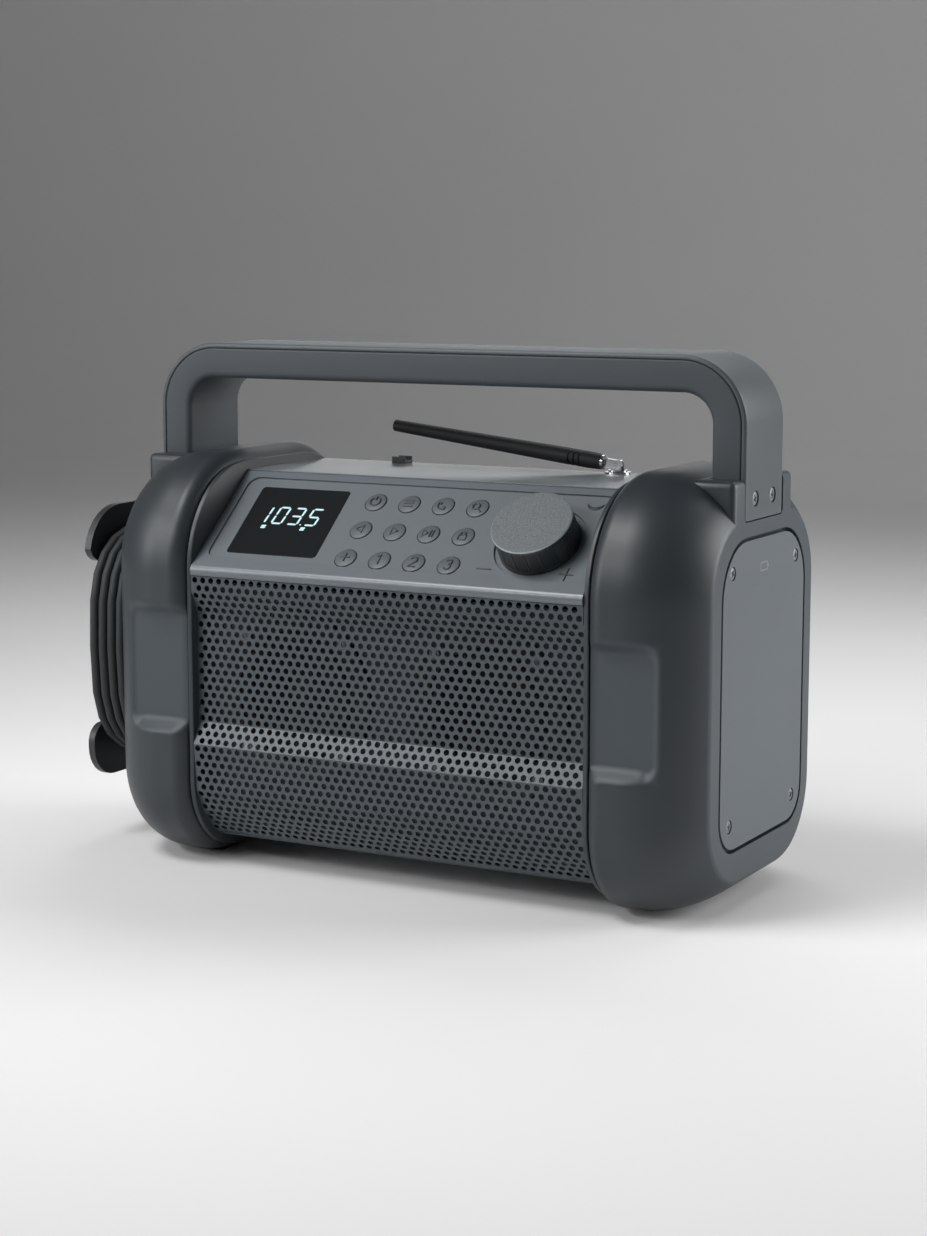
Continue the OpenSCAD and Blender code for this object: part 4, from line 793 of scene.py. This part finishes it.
class RADIO_OT_caps(RadioOperator, bpy.types.Operator):
    """Moulds the two end caps with their pockets, handle blocks and cut-outs"""

    bl_idname = "radio.caps"
    bl_label = "End caps"

    # Points along the outline's corners, its front and its other sides
    corner_steps, front_steps, plain_steps = 16, 92, 10
    # Rings along the inner lip, the curve towards the end and the end's edge
    lip_steps, end_steps, edge_steps = 14, 36, 6
    # Rounded edge of the raised ring: distance from its inner face and extra inset
    ring_edge = ((0.0, 0.8 * MM), (0.25 * MM, 0.25 * MM), (0.8 * MM, 0.0))
    neck_edge = 0.4 * MM
    socket_steps = 8
    # Corner radii of the battery cover, the gap round it and the depth of the seat behind it
    cover_top_r, cover_low_r = 27 * MM, 17 * MM
    recess_gap, recess_seat = 1.9 * MM, 0.5 * MM
    gland_play = 0.3 * MM

    def outline(self, form, inset):
        """Points round the cap at an inset, denser down the front."""
        r = form.low_r - form.low_share * inset
        top = form.top_r - inset
        w = HALF_D - inset
        low = CAP_LOW + form.low_rise * inset
        mid = CAP_TOP - form.top_r
        corners = [arc(w - r, low + r, r, 270, 360, self.corner_steps),
                   arc(w - top, mid, top, 0, 90, self.corner_steps),
                   arc(top - w, mid, top, 90, 180, self.corner_steps),
                   arc(r - w, low + r, r, 180, 270, self.corner_steps)]
        points = []
        for k, corner in enumerate(corners):
            steps = self.front_steps if k == 2 else self.plain_steps
            points += corner + between(corner[-1], corners[(k + 1) % 4][0], steps)
        return points

    def sections(self, form):
        """Distance from the middle, inset and rearward shift of each ring."""
        cap_in = RING_X + form.ring_t
        neck = cap_in - form.ring_neck
        rows = [(RING_X + x, form.ring_inset + inset) for x, inset in self.ring_edge]
        rows += [(neck - self.neck_edge, form.ring_inset), (neck, form.ring_inset + self.neck_edge),
                 (neck, form.lip_r), (cap_in, form.lip_r)]
        for i in range(1, self.lip_steps + 1):
            a = math.pi / 2 * (1 - i / self.lip_steps)
            rows.append((cap_in + form.lip_r * (1 - math.sin(a)), form.lip_r * (1 - math.cos(a))))
        rise, run = math.sin(form.end_turn), math.cos(form.end_turn)
        curve_x = HALF_L - form.end_r * rise - form.end_edge_r * (1 - rise)
        flat = curve_x - cap_in - form.lip_r
        count = round(flat / MM)
        rows += [(cap_in + form.lip_r + flat * i / count, 0.0) for i in range(1, count)]
        rows = [(x, inset, 0.0) for x, inset in rows]
        full = form.end_r * (1 - run) + form.end_edge_r * run
        ends = []
        for i in range(self.end_steps + 1):
            a = form.end_turn * i / self.end_steps
            ends.append((curve_x + form.end_r * math.sin(a), form.end_r * (1 - math.cos(a))))
        for i in range(1, self.edge_steps + 1):
            a = form.end_turn + (math.pi / 2 - form.end_turn) * i / self.edge_steps
            ends.append((HALF_L - form.end_edge_r * (1 - math.sin(a)), full - form.end_edge_r * math.cos(a)))
        return rows + [(x, inset, form.end_shift * inset / full) for x, inset in ends]

    def sunk(self, form, x, y, z):
        """Front surface with the pocket pressed in; the pocket is open towards the inner edge."""
        if y > -HALF_D / 2 or x < RING_X + form.ring_t:
            return y
        r = form.pocket_r
        over = x - (RING_X + form.ring_t + form.pocket_edge + form.pocket_w)
        tall = abs(z - form.pocket_z) - form.pocket_h / 2
        a, b = max(0.0, over + r), max(0.0, tall + r)
        reach = r - math.hypot(a, b) if a and b else -max(over, tall)
        share = b / (a + b) if a + b else (1.0 if tall > over else 0.0)
        run = form.pocket_side + (form.pocket_slope - form.pocket_side) * share
        floor = form.pocket_depth - HALF_D
        return y + max(0.0, floor - y) * ease(reach / run)

    def shell(self, form, side):
        rings = []
        for x, inset, shift in self.sections(form):
            rings.append([Vector((MID_X + side * x, self.sunk(form, x, y + shift, z), z))
                          for y, z in self.outline(form, inset)])
        return loft(rings)

    def block(self, form, side):
        ends = span(side, form.block_in, HALF_L)
        bm = box_bm((ends[0], -form.block_d / 2, form.block_low), (ends[1], form.block_d / 2, form.block_top))
        bmesh.ops.bevel(bm, geom=bm.edges[:], offset=form.block_r, segments=4, profile=0.5, affect="EDGES")
        return bm

    def socket(self, strap, side):
        """Cutter for the seat of a handle leg."""
        leg_low, leg_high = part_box("handle_frame")
        half_w, low, r = leg_high.y + strap.fit, leg_low.z - strap.fit, strap.corner_r + strap.fit
        outline = (arc(half_w - r, low + r, r, 270, 360, self.socket_steps)
                   + [(half_w, CAP_TOP + PAST), (-half_w, CAP_TOP + PAST)]
                   + arc(r - half_w, low + r, r, 180, 270, self.socket_steps))
        return prism(outline, *span(side, HALF_L - strap.strap_t - strap.fit, HALF_L + PAST))

    def recess(self):
        """Cutter for the seat of the battery cover."""
        low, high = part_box("battery_cover")
        gap = self.recess_gap
        top_r, low_r = self.cover_top_r + gap, self.cover_low_r + gap
        front, rear, bottom, top = low.y - gap, high.y + gap, low.z - gap, high.z + gap
        outline = (arc(rear - low_r, bottom + low_r, low_r, 270, 360, 16)
                   + arc(rear - top_r, top - top_r, top_r, 0, 90, 20)
                   + arc(front + top_r, top - top_r, top_r, 90, 180, 20)
                   + arc(front + low_r, bottom + low_r, low_r, 180, 270, 16))
        return prism(outline, low.x - self.recess_seat, high.x + PAST)

    def notch(self):
        """Cutter for the groove in which the cord gland lies."""
        low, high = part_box("cord_gland")
        r = (high.z - low.z) / 2 + self.gland_play
        at = (low.x + r, (low.y + high.y) / 2 + PAST, (low.z + high.z) / 2)
        return rod(r, high.y - low.y + 2 * PAST, at, "X")

    def execute(self, context):
        form, strap = settings().cap, settings().handle
        for side, node, seat in ((-1, "left_end_cap", self.notch), (1, "right_end_cap", self.recess)):
            cap = stand_in(node, ".shell", self.shell(form, side))
            combine(cap, self.block(form, side), "UNION")
            combine(cap, self.socket(strap, side))
            combine(cap, seat())
            smooth(cap.data, 32)
        return {"FINISHED"}


class RADIO_OT_handle(RadioOperator, bpy.types.Operator):
    """Bends the handle frame and its outer band"""

    bl_idname = "radio.handle"
    bl_label = "Handle"

    bend_steps, edge_steps = 22, 6
    # Play round a screw head in its seat, and reach of the cutters of seats and corners
    seat_play, seat_past, corner_past = 0.3 * MM, 2 * MM, 1 * MM

    def section(self, outer, inner, outer_r, inner_r, half_w):
        steps = self.edge_steps
        return (arc(outer + outer_r, outer_r - half_w, outer_r, 270, 180, steps)
                + arc(outer + outer_r, half_w - outer_r, outer_r, 180, 90, steps)
                + arc(inner - inner_r, half_w - inner_r, inner_r, 90, 0, steps)
                + arc(inner - inner_r, inner_r - half_w, inner_r, 0, -90, steps))

    def strap(self, form, section, low, top):
        centre = HALF_L - form.bend_r

        def ring(mid, angle, height):
            a = math.radians(angle)
            return [Vector((MID_X + mid + (form.bend_r - d) * math.cos(a), y,
                            height + (form.bend_r - d) * math.sin(a))) for d, y in section]

        high = top - form.bend_r
        turns = [90 * i / self.bend_steps for i in range(self.bend_steps + 1)]
        rings = [ring(-centre, 180, low)]
        rings += [ring(-centre, 180 - a, high) for a in turns]
        rings += [ring(centre, 90 - a, high) for a in turns]
        rings.append(ring(centre, 0, low))
        return loft(rings)

    def corners(self, form, low, half_w):
        """Cutters that round the lower corners of both legs."""
        joined = bmesh.new()
        for side in (-1, 1):
            ends = span(side, HALF_L - form.strap_t - self.corner_past, HALF_L + self.corner_past)
            for y in (-1, 1):
                cutter = mesh_from("corner", corner_cutter(y * half_w, low, y, -1, form.corner_r, ends))
                joined.from_mesh(cutter)
                bpy.data.meshes.remove(cutter)
        return joined

    def seat(self, form, low, high):
        """Cutter for the seat of one screw, from the screw's box."""
        long = high.x - low.x
        side = 1 if low.x > MID_X else -1
        reach = long / 2 + self.seat_past
        at = (MID_X + side * (HALF_L - form.seat_t + reach), (low.y + high.y) / 2, (low.z + high.z) / 2)
        return rod((high.z - low.z) / 2 + self.seat_play, long + 2 * self.seat_past, at, "Y")

    def execute(self, context):
        form = settings().handle
        low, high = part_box("handle_band")
        half_w = high.y
        cuts = {"handle_frame": (form.band_t + form.seam, form.strap_t, form.seam_r, form.edge_r),
                "handle_band": (0, form.band_t, form.band_edge_r, form.seam_r)}
        for node, cut in cuts.items():
            strap = stand_in(node, ".strap", self.strap(form, self.section(*cut, half_w), low.z, high.z))
            combine(strap, self.corners(form, low.z, half_w))
            if node == "handle_band":
                for screw in loose_boxes("handle_screws"):
                    combine(strap, self.seat(form, *screw))
            smooth(strap.data, 40)
        return {"FINISHED"}


class RADIO_OT_mouldings(RadioOperator, bpy.types.Operator):
    """Softens the edges of the panel, cover, deck, cabinet, feet, display window and knob"""

    bl_idname = "radio.mouldings"
    bl_label = "Mouldings"

    # Edge rounding of each in millimetres
    edges = {"control_panel": 0.45, "battery_cover": 0.8, "top_deck": 0.6, "rear_cabinet": 0.8, "feet": 0.4,
             "display_lens": 0.15, "volume_knob": 0.4}

    def execute(self, context):
        for node, width in self.edges.items():
            dressed(node, width * MM)
        return {"FINISHED"}


class RADIO_OT_hooks(RadioOperator, bpy.types.Operator):
    """Rounds the tips and edges of the two cord hooks"""

    bl_idname = "radio.hooks"
    bl_label = "Cord hooks"

    tip_r = 10 * MM
    edge = 1.2 * MM
    flange = 6 * MM
    # Depth in which points belong to the outer face, and reach of the cutters past it
    face_t, past = 0.1 * MM, 1 * MM

    def execute(self, context):
        for node, out_z in (("upper_cord_hook", -1), ("lower_cord_hook", 1)):
            face_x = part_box(node)[0].x
            face = [v.co for v in NODES[node].data.vertices if v.co.x < face_x + self.face_t]
            half_w = max(co.y for co in face)
            tip_z = out_z * max(out_z * co.z for co in face)
            ends = (face_x - self.past, face_x + self.flange)
            dressed(node, self.edge, cutters=[corner_cutter(y * half_w, tip_z, y, out_z, self.tip_r, ends)
                                              for y in (-1, 1)])
        return {"FINISHED"}


class RADIO_OT_screws(RadioOperator, bpy.types.Operator):
    """Turns the cross-head screws of the handle, the cover and the cabinet"""

    bl_idname = "radio.screws"
    bl_label = "Screws"

    groups = {"handle_screws": (1, 0, 0), "battery_cover_screws": (1, 0, 0), "cabinet_screws": (0, 1, 0)}

    head_t = 1.4 * MM
    cross_depth = 0.9 * MM
    # Head profile as shares of the head's radius and thickness
    head = ((0.0, 0.0), (0.7, 0.05), (0.94, 0.2), (1.0, 0.42), (1.0, 1.0))
    shank = 0.5
    steps = 40
    # Turn of each cross, spread by the screw's place
    spin_y, spin_z = 51, 37

    def screw(self, head_r, length):
        """A cross-head screw with its top at the origin, pointing down."""
        profile = [(head_r * r, -z * self.head_t) for r, z in self.head]
        profile += [(self.shank * head_r, -self.head_t), (self.shank * head_r, -length), (0.0, -length)]
        bm = bmesh.new()
        rows = [[bm.verts.new((r * c, r * s, z)) for c, s in (circle(self.steps) if r else [(0, 0)])]
                for r, z in profile]
        for a, b in zip(rows, rows[1:]):
            for i in range(self.steps):
                n = (i + 1) % self.steps
                ring = [a[i % len(a)], a[n % len(a)], b[n % len(b)], b[i % len(b)]]
                bm.faces.new(list(dict.fromkeys(ring)))
        return bm

    def cross(self, r):
        """Tapered cutter for the cross recess."""
        arm, wide = 0.58 * r, 0.16 * r
        plus = [(wide, wide), (wide, arm), (-wide, arm), (-wide, wide), (-arm, wide), (-arm, -wide), (-wide, -wide),
                (-wide, -arm), (wide, -arm), (wide, -wide), (arm, -wide), (arm, wide)]
        return loft([[(x * k, y * k, z) for x, y in plus]
                     for k, z in ((1.1, 0.3 * self.cross_depth), (0.62, -self.cross_depth))])

    def execute(self, context):
        for node, axis in self.groups.items():
            along = axis.index(1)
            home = (MID_X, 0)[along]
            joined = bmesh.new()
            for low, high in loose_boxes(node):
                r = (high.z - low.z) / 2
                middle = (low + high) / 2
                side = 1 if middle[along] > home else -1
                one = add_piece("screw", mesh_from("screw", self.screw(r, high[along] - low[along])),
                                "screw_steel", HOUSING)
                combine(one, self.cross(r))
                middle[along] = high[along] if side > 0 else low[along]
                aim = Vector(axis) * side
                turn = Matrix.Translation(middle) @ aim.to_track_quat("Z", "Y").to_matrix().to_4x4()
                spin = middle.z * self.spin_z + middle.y * self.spin_y
                one.data.transform(turn @ Matrix.Rotation(spin, 4, "Z"))
                joined.from_mesh(one.data)
                bpy.data.objects.remove(one)
            smooth(stand_in(node, ".heads", joined).data, 30)
        return {"FINISHED"}


class RADIO_OT_keys(RadioOperator, bpy.types.Operator):
    """Softens each key and raises its sign"""

    bl_idname = "radio.keys"
    bl_label = "Key signs"

    dome_r = 34.2 * MM
    edge = 0.4 * MM
    sign = 3.1 * MM
    line = 0.48 * MM

    arc_steps = 20

    def signs(self):
        """Stroke paths of each sign in a square from -1 to 1."""
        def ring(*form):
            return arc(*form, self.arc_steps)

        return {
            "power": [ring(0, 0, 0.85, 125, 415), [(0, 0.25), (0, 1.05)]],
            "mode": [[(-0.8, 0.6), (0.8, 0.6)], [(-0.8, 0), (0.8, 0)], [(-0.8, -0.6), (0.8, -0.6)]],
            "phone": [ring(0.1, 0.1, 0.95, 150, 300), [(-0.72, 0.58), (-0.3, 0.5), (-0.35, 0.1)],
                      [(0.58, -0.72), (0.5, -0.3), (0.1, -0.35)]],
            "scan": [ring(-0.2, 0.2, 0.6, 0, 360), [(0.25, -0.25), (0.9, -0.9)]],
            "back": [[(0.45, 0.75), (-0.65, 0), (0.45, -0.75), (0.45, 0.75)]],
            "forward": [[(-0.45, 0.75), (0.65, 0), (-0.45, -0.75), (-0.45, 0.75)]],
            "play": [[(-0.95, 0.7), (0.0, 0), (-0.95, -0.7), (-0.95, 0.7)], [(0.4, 0.7), (0.4, -0.7)],
                     [(0.85, 0.7), (0.85, -0.7)]],
            "lock": [[(-0.65, 0.05), (0.65, 0.05), (0.65, -0.85), (-0.65, -0.85), (-0.65, 0.05)],
                     ring(0, 0.3, 0.42, -10, 190)],
            "preset": [[(-0.8, 0), (0.8, 0)], [(0, -0.8), (0, 0.8)]],
            "one": [[(-0.4, 0.55), (0.1, 0.95), (0.1, -0.95)]],
            "two": [ring(0, 0.4, 0.55, 165, -35) + [(-0.6, -0.95), (0.65, -0.95)]],
            "three": [ring(0, 0.45, 0.5, 150, -80) + ring(0, -0.45, 0.53, 80, -150)],
        }

    def execute(self, context):
        for name, paths in self.signs().items():
            node = "key_" + name
            dressed(node, self.edge, segments=3)
            height = panel_range(node, PANEL_N)[1]
            u0, v0 = (sum(panel_range(node, axis)) / 2 for axis in (PANEL_U, PANEL_V))

            def at(x, y):
                return on_panel(u0 + x, v0 + y, height - (x * x + y * y) / (2 * self.dome_r))

            drawn = [[at(x * self.sign, y * self.sign) for x, y in path] for path in paths]
            strokes(node + ".sign", drawn, self.line, BODY_OF[node])
        return {"FINISHED"}


class RADIO_OT_knob(RadioOperator, bpy.types.Operator):
    """Turns the knob's shallow cap"""

    bl_idname = "radio.knob"
    bl_label = "Knob cap"

    proud = 0.15 * MM
    skirt = 2.0 * MM
    edge_r = 0.6 * MM
    # Inward turn at the foot of the skirt, and its drop
    foot, foot_drop = 0.5 * MM, 0.2 * MM
    steps, edge_steps = 96, 6

    def execute(self, context):
        top = KNOB_TOP - KNOB_AT.dot(PANEL_N)
        r = max((v.co - KNOB_AT).dot(PANEL_U) for v in NODES["volume_knob"].data.vertices) - self.proud
        flat = r - self.edge_r
        profile = [(flat * 0.3, top), (flat * 0.6, top), (flat - 0.5 * MM, top)]
        profile += arc(flat, top - self.edge_r, self.edge_r, 90, 0, self.edge_steps)
        profile += [(r, top - self.skirt), (r - self.foot, top - self.skirt - self.foot_drop)]
        rows = [(height, radius) for radius, height in profile]
        cap = stand_in("knob_cap", ".turned", turned(KNOB_AT, PANEL_N, PANEL_U, PANEL_V, rows, self.steps))
        smooth(cap.data, 20)
        return {"FINISHED"}


class RADIO_OT_antenna(RadioOperator, bpy.types.Operator):
    """Turns the antenna's tapered rubber sleeve with its three grooves and opens the clip for it"""

    bl_idname = "radio.antenna"
    bl_label = "Antenna sleeve"

    root_r = 4.3 * MM
    mouth_r = 3.95 * MM
    tip_r = 3.1 * MM
    over_ferrule = 3 * MM
    # Places of the grooves past the root, and distance and depth along each
    grooves = (8 * MM, 11 * MM, 14 * MM)
    groove = ((0.0, 0.0), (0.3 * MM, 0.5 * MM), (1.0 * MM, 0.5 * MM), (1.3 * MM, 0.0))
    # Rounding of the mouth, and where past the root the full width and the taper begin
    mouth_edge, full_from, taper_from = 0.3 * MM, 5 * MM, 20 * MM
    # Distance before the tip and loss of radius along its rounding
    tip_edge = ((0.2 * MM, 0.2 * MM), (0.0, 0.7 * MM))
    taper_end, taper_steps = 0.6 * MM, 12
    # Play of the sleeve in the clip, the clip's edge rounding and the reach of its cutter
    clip_play, clip_edge, clip_past = 0.4 * MM, 0.25 * MM, 1 * MM
    steps = 48

    def execute(self, context):
        pivot = Vector(JOINTS["antenna_raise"]["pos_m"])
        points = [v.co - pivot for v in NODES["antenna_whip"].data.vertices]
        aim = sum(points, Vector()).normalized()
        reach = [p.dot(aim) for p in points]
        root, tip = min(reach), max(reach)
        mouth = root - self.over_ferrule
        profile = [(mouth, self.mouth_r - self.mouth_edge), (mouth + self.mouth_edge, self.mouth_r),
                   (root + self.full_from, self.root_r)]
        for s in self.grooves:
            profile += [(root + s + run, self.root_r - sunk) for run, sunk in self.groove]
        start, end, count = root + self.taper_from, tip - self.taper_end, self.taper_steps
        profile += [(start + (end - start) * i / count, self.root_r + (self.tip_r - self.root_r) * i / count)
                    for i in range(count + 1)]
        profile += [(tip - back, self.tip_r - loss) for back, loss in self.tip_edge]
        side = aim.orthogonal().normalized()
        sleeve = turned(pivot, aim, side, aim.cross(side), profile, self.steps)
        smooth(stand_in("antenna_whip", ".sleeve", sleeve).data, 30)
        low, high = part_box("antenna_clip")
        seat = arc(pivot.y, pivot.z, self.tip_r + self.clip_play, 0, 360, self.steps)[:-1]
        dressed("antenna_clip", self.clip_edge, cutters=[prism(seat, low.x - self.clip_past, high.x + self.clip_past)])
        return {"FINISHED"}


class RADIO_OT_display(RadioOperator, bpy.types.Operator):
    """Lights the frequency and two small signs in the display"""

    bl_idname = "radio.display"
    bl_label = "Display"

    shapes = {"0": "abcdef", "1": "bc", "3": "abcdg", "5": "acdfg"}
    reading = (("1", -87.8), ("0", -77.8), ("3", -68.5), ("5", -58.3))
    dot_at = -60.6
    low, high = 32.5 * MM, 43.5 * MM
    wide, thick = 5.7 * MM, 1.15 * MM
    lean = math.tan(math.radians(5))
    icons, icon_rows, icon_w = (-82.6, -59.6), (29.2, 30.4), 3.4
    # Gap at a segment's ends, thickness of the lit film and half width of the dot
    gap, film, dot_half = 0.16 * MM, 0.03 * MM, 0.7 * MM

    def bar(self, bm, a, b):
        """One pointed segment from a to b."""
        a, b = Vector(a), Vector(b)
        d = (b - a).normalized()
        side = Vector((-d.y, d.x)) * self.thick / 2
        a, b = a + d * self.gap, b - d * self.gap
        tip = d * self.thick / 2
        outline = [a, a + tip + side, b - tip + side, b, b - tip - side, a + tip - side]
        loft([[on_panel(p.x + (p.y - self.low) * self.lean, p.y, n) for p in outline]
              for n in (self.top, self.top + self.film)], bm)

    def execute(self, context):
        self.top = panel_range("display_lens", PANEL_N)[1]
        bm = bmesh.new()
        middle = (self.low + self.high) / 2
        for digit, left in self.reading:
            x0, x1 = left * MM, left * MM + self.wide
            ends = {"a": ((x0, self.high), (x1, self.high)), "b": ((x1, middle), (x1, self.high)),
                    "c": ((x1, self.low), (x1, middle)), "d": ((x0, self.low), (x1, self.low)),
                    "e": ((x0, self.low), (x0, middle)), "f": ((x0, middle), (x0, self.high)),
                    "g": ((x0, middle), (x1, middle))}
            for name in self.shapes[digit]:
                self.bar(bm, *ends[name])
        dot = self.dot_at * MM
        self.bar(bm, (dot - self.dot_half, self.low), (dot + self.dot_half, self.low))
        for left in self.icons:
            for v in self.icon_rows:
                self.bar(bm, (left * MM, v * MM), ((left + self.icon_w) * MM, v * MM))
        add_piece("display_digits", mesh_from("display_digits", bm), "digits", HOUSING)
        return {"FINISHED"}


class RADIO_OT_marks(RadioOperator, bpy.types.Operator):
    """Raises the plus, minus and turning marks beside the knob"""

    bl_idname = "radio.marks"
    bl_label = "Marks"

    # Depth of the panel's field and half width of the strokes
    field, line = -1.0 * MM, 0.42 * MM

    def execute(self, context):
        def at(u, v):
            return on_panel(u * MM, v * MM, self.field)

        crescent = arc(93.5, 58.5, 4.2, 195, 345, 16) + arc(93.5, 61.2, 5.6, 318, 222, 16)
        paths = [[at(47.8, 12), at(55.6, 12)], [at(91.4, 12), at(98.6, 12)], [at(95, 8), at(95, 16)],
                 [at(u, v) for u, v in crescent + crescent[:1]]]
        strokes("panel_marks", paths, self.line, HOUSING)
        return {"FINISHED"}


class RADIO_OT_stage(RadioOperator, bpy.types.Operator):
    """Sets up the pale floor, the backdrop and the soft boxes"""

    bl_idname = "radio.stage"
    bl_label = "Studio"

    # Name, place, aim, size, spread in degrees and power of each soft box
    lamps = (
        ("top_box", (-0.42, -0.58, 1.2), (0.1, -0.03, 0.19), (0.62, 0.42), 120, 3.8),
        ("front_strip", (-0.62, -1.0, 0.8), (0.0, -0.05, 0.08), (1.2, 0.14), 100, 1.9),
        ("deck_strip", (-0.72, 1.37, 0.43), (0.02, 0.03, 0.2), (1.3, 0.14), 60, 0.115),
        ("left_box", (-0.95, -0.85, 0.4), (-0.13, -0.08, 0.1), (0.4, 0.4), 50, 0.3),
        ("rear_box", (0.0, 0.8, 1.2), (0.0, 0.0, 0.2), (1.4, 0.5), 150, 4.6),
        ("right_box", (1.3, 0.75, 0.6), (0.15, 0.0, 0.1), (0.9, 0.9), 110, 6.4),
        ("wall_wash", (0.0, 1.5, 2.4), (0.0, 3.5, 0.6), (2.4, 0.5), 150, 9.0),
    )
    floor_r, bend_r, wall_top = 2.6, 1.0, 4.5
    steps = 96
    floor_tones = (0.86, 0.9)
    world_level = 0.05

    def floor_look(self):
        look = Look("studio_floor")
        tone = look.noise(3.0)
        low, high = ((level, level, level, 1) for level in self.floor_tones)
        return look.finish(base_color=look.mix(tone, low, high), roughness=0.7 + 0.15 * tone)

    def bowl(self):
        """A round floor that bends up into a wall, alike from every side."""
        profile = [(self.floor_r * i / 4, 0.0) for i in range(1, 5)]
        profile += arc(self.floor_r, self.bend_r, self.bend_r, 270, 360, 16)[1:]
        profile.append((self.floor_r + self.bend_r, self.wall_top))
        bm = bmesh.new()
        middle = bm.verts.new((0, 0, 0))
        rows = [[bm.verts.new((r * c, r * s, z)) for c, s in circle(self.steps)] for r, z in profile]
        for i in range(self.steps):
            bm.faces.new((middle, rows[0][i], rows[0][(i + 1) % self.steps]))
        for a, b in zip(rows, rows[1:]):
            for i in range(self.steps):
                n = (i + 1) % self.steps
                bm.faces.new((a[i], b[i], b[n], a[n]))
        return bm

    def execute(self, context):
        mesh = mesh_from("studio_floor", self.bowl())
        smooth(mesh, 60)
        mesh.materials.append(self.floor_look())
        floor = linked("studio_floor", mesh)
        for name, at, aim, (w, h), spread, power in self.lamps:
            data = bpy.data.lights.new(name, "AREA")
            data.shape, data.size, data.size_y, data.energy = "RECTANGLE", w, h, power
            data.spread = math.radians(spread)
            lamp = linked(name, data)
            lamp.location = at
            lamp.visible_camera = False
            lamp.rotation_euler = (Vector(aim) - Vector(at)).to_track_quat("-Z", "Y").to_euler()
        world = bpy.data.worlds.new("studio")
        world.use_nodes = True
        background = world.node_tree.nodes["Background"].inputs
        background["Color"].default_value = (1, 1, 1, 1)
        background["Strength"].default_value = self.world_level
        context.scene.world = world
        context.scene.view_settings.view_transform = "Standard"
        return {"FINISHED"}


class RADIO_PT_dress(bpy.types.Panel):
    """Lists the steps of the dress in the sidebar"""

    bl_idname = "RADIO_PT_dress"
    bl_label = "Radio speaker"
    bl_space_type = "VIEW_3D"
    bl_region_type = "UI"
    bl_category = "Radio"

    def draw(self, context):
        for step in STEPS:
            self.layout.operator(step.bl_idname)
        for group in (settings().cap, settings().handle, settings().lead, settings().colours):
            box = self.layout.box()
            for key in group.__annotations__:
                box.prop(group, key)


STEPS = (RADIO_OT_camera, RADIO_OT_lead, RADIO_OT_finishes, RADIO_OT_caps, RADIO_OT_handle, RADIO_OT_mouldings,
         RADIO_OT_hooks, RADIO_OT_screws, RADIO_OT_keys, RADIO_OT_knob, RADIO_OT_antenna, RADIO_OT_display,
         RADIO_OT_marks, RADIO_OT_stage)
GROUPS = (RadioCapForm, RadioHandleForm, RadioLeadForm, RadioColours, RadioSettings)
CLASSES = GROUPS + STEPS + (RADIO_PT_dress,)


def register():
    for cls in CLASSES:
        bpy.utils.register_class(cls)
    bpy.types.Scene.radio_dress = PointerProperty(type=RadioSettings)


def unregister():
    del bpy.types.Scene.radio_dress
    for cls in reversed(CLASSES):
        bpy.utils.unregister_class(cls)


def main():
    register()
    LOOKS.update(make_looks())
    for step in STEPS:
        group, name = step.bl_idname.split(".")
        getattr(getattr(bpy.ops, group), name)()


if __name__ == "__main__":
    main()
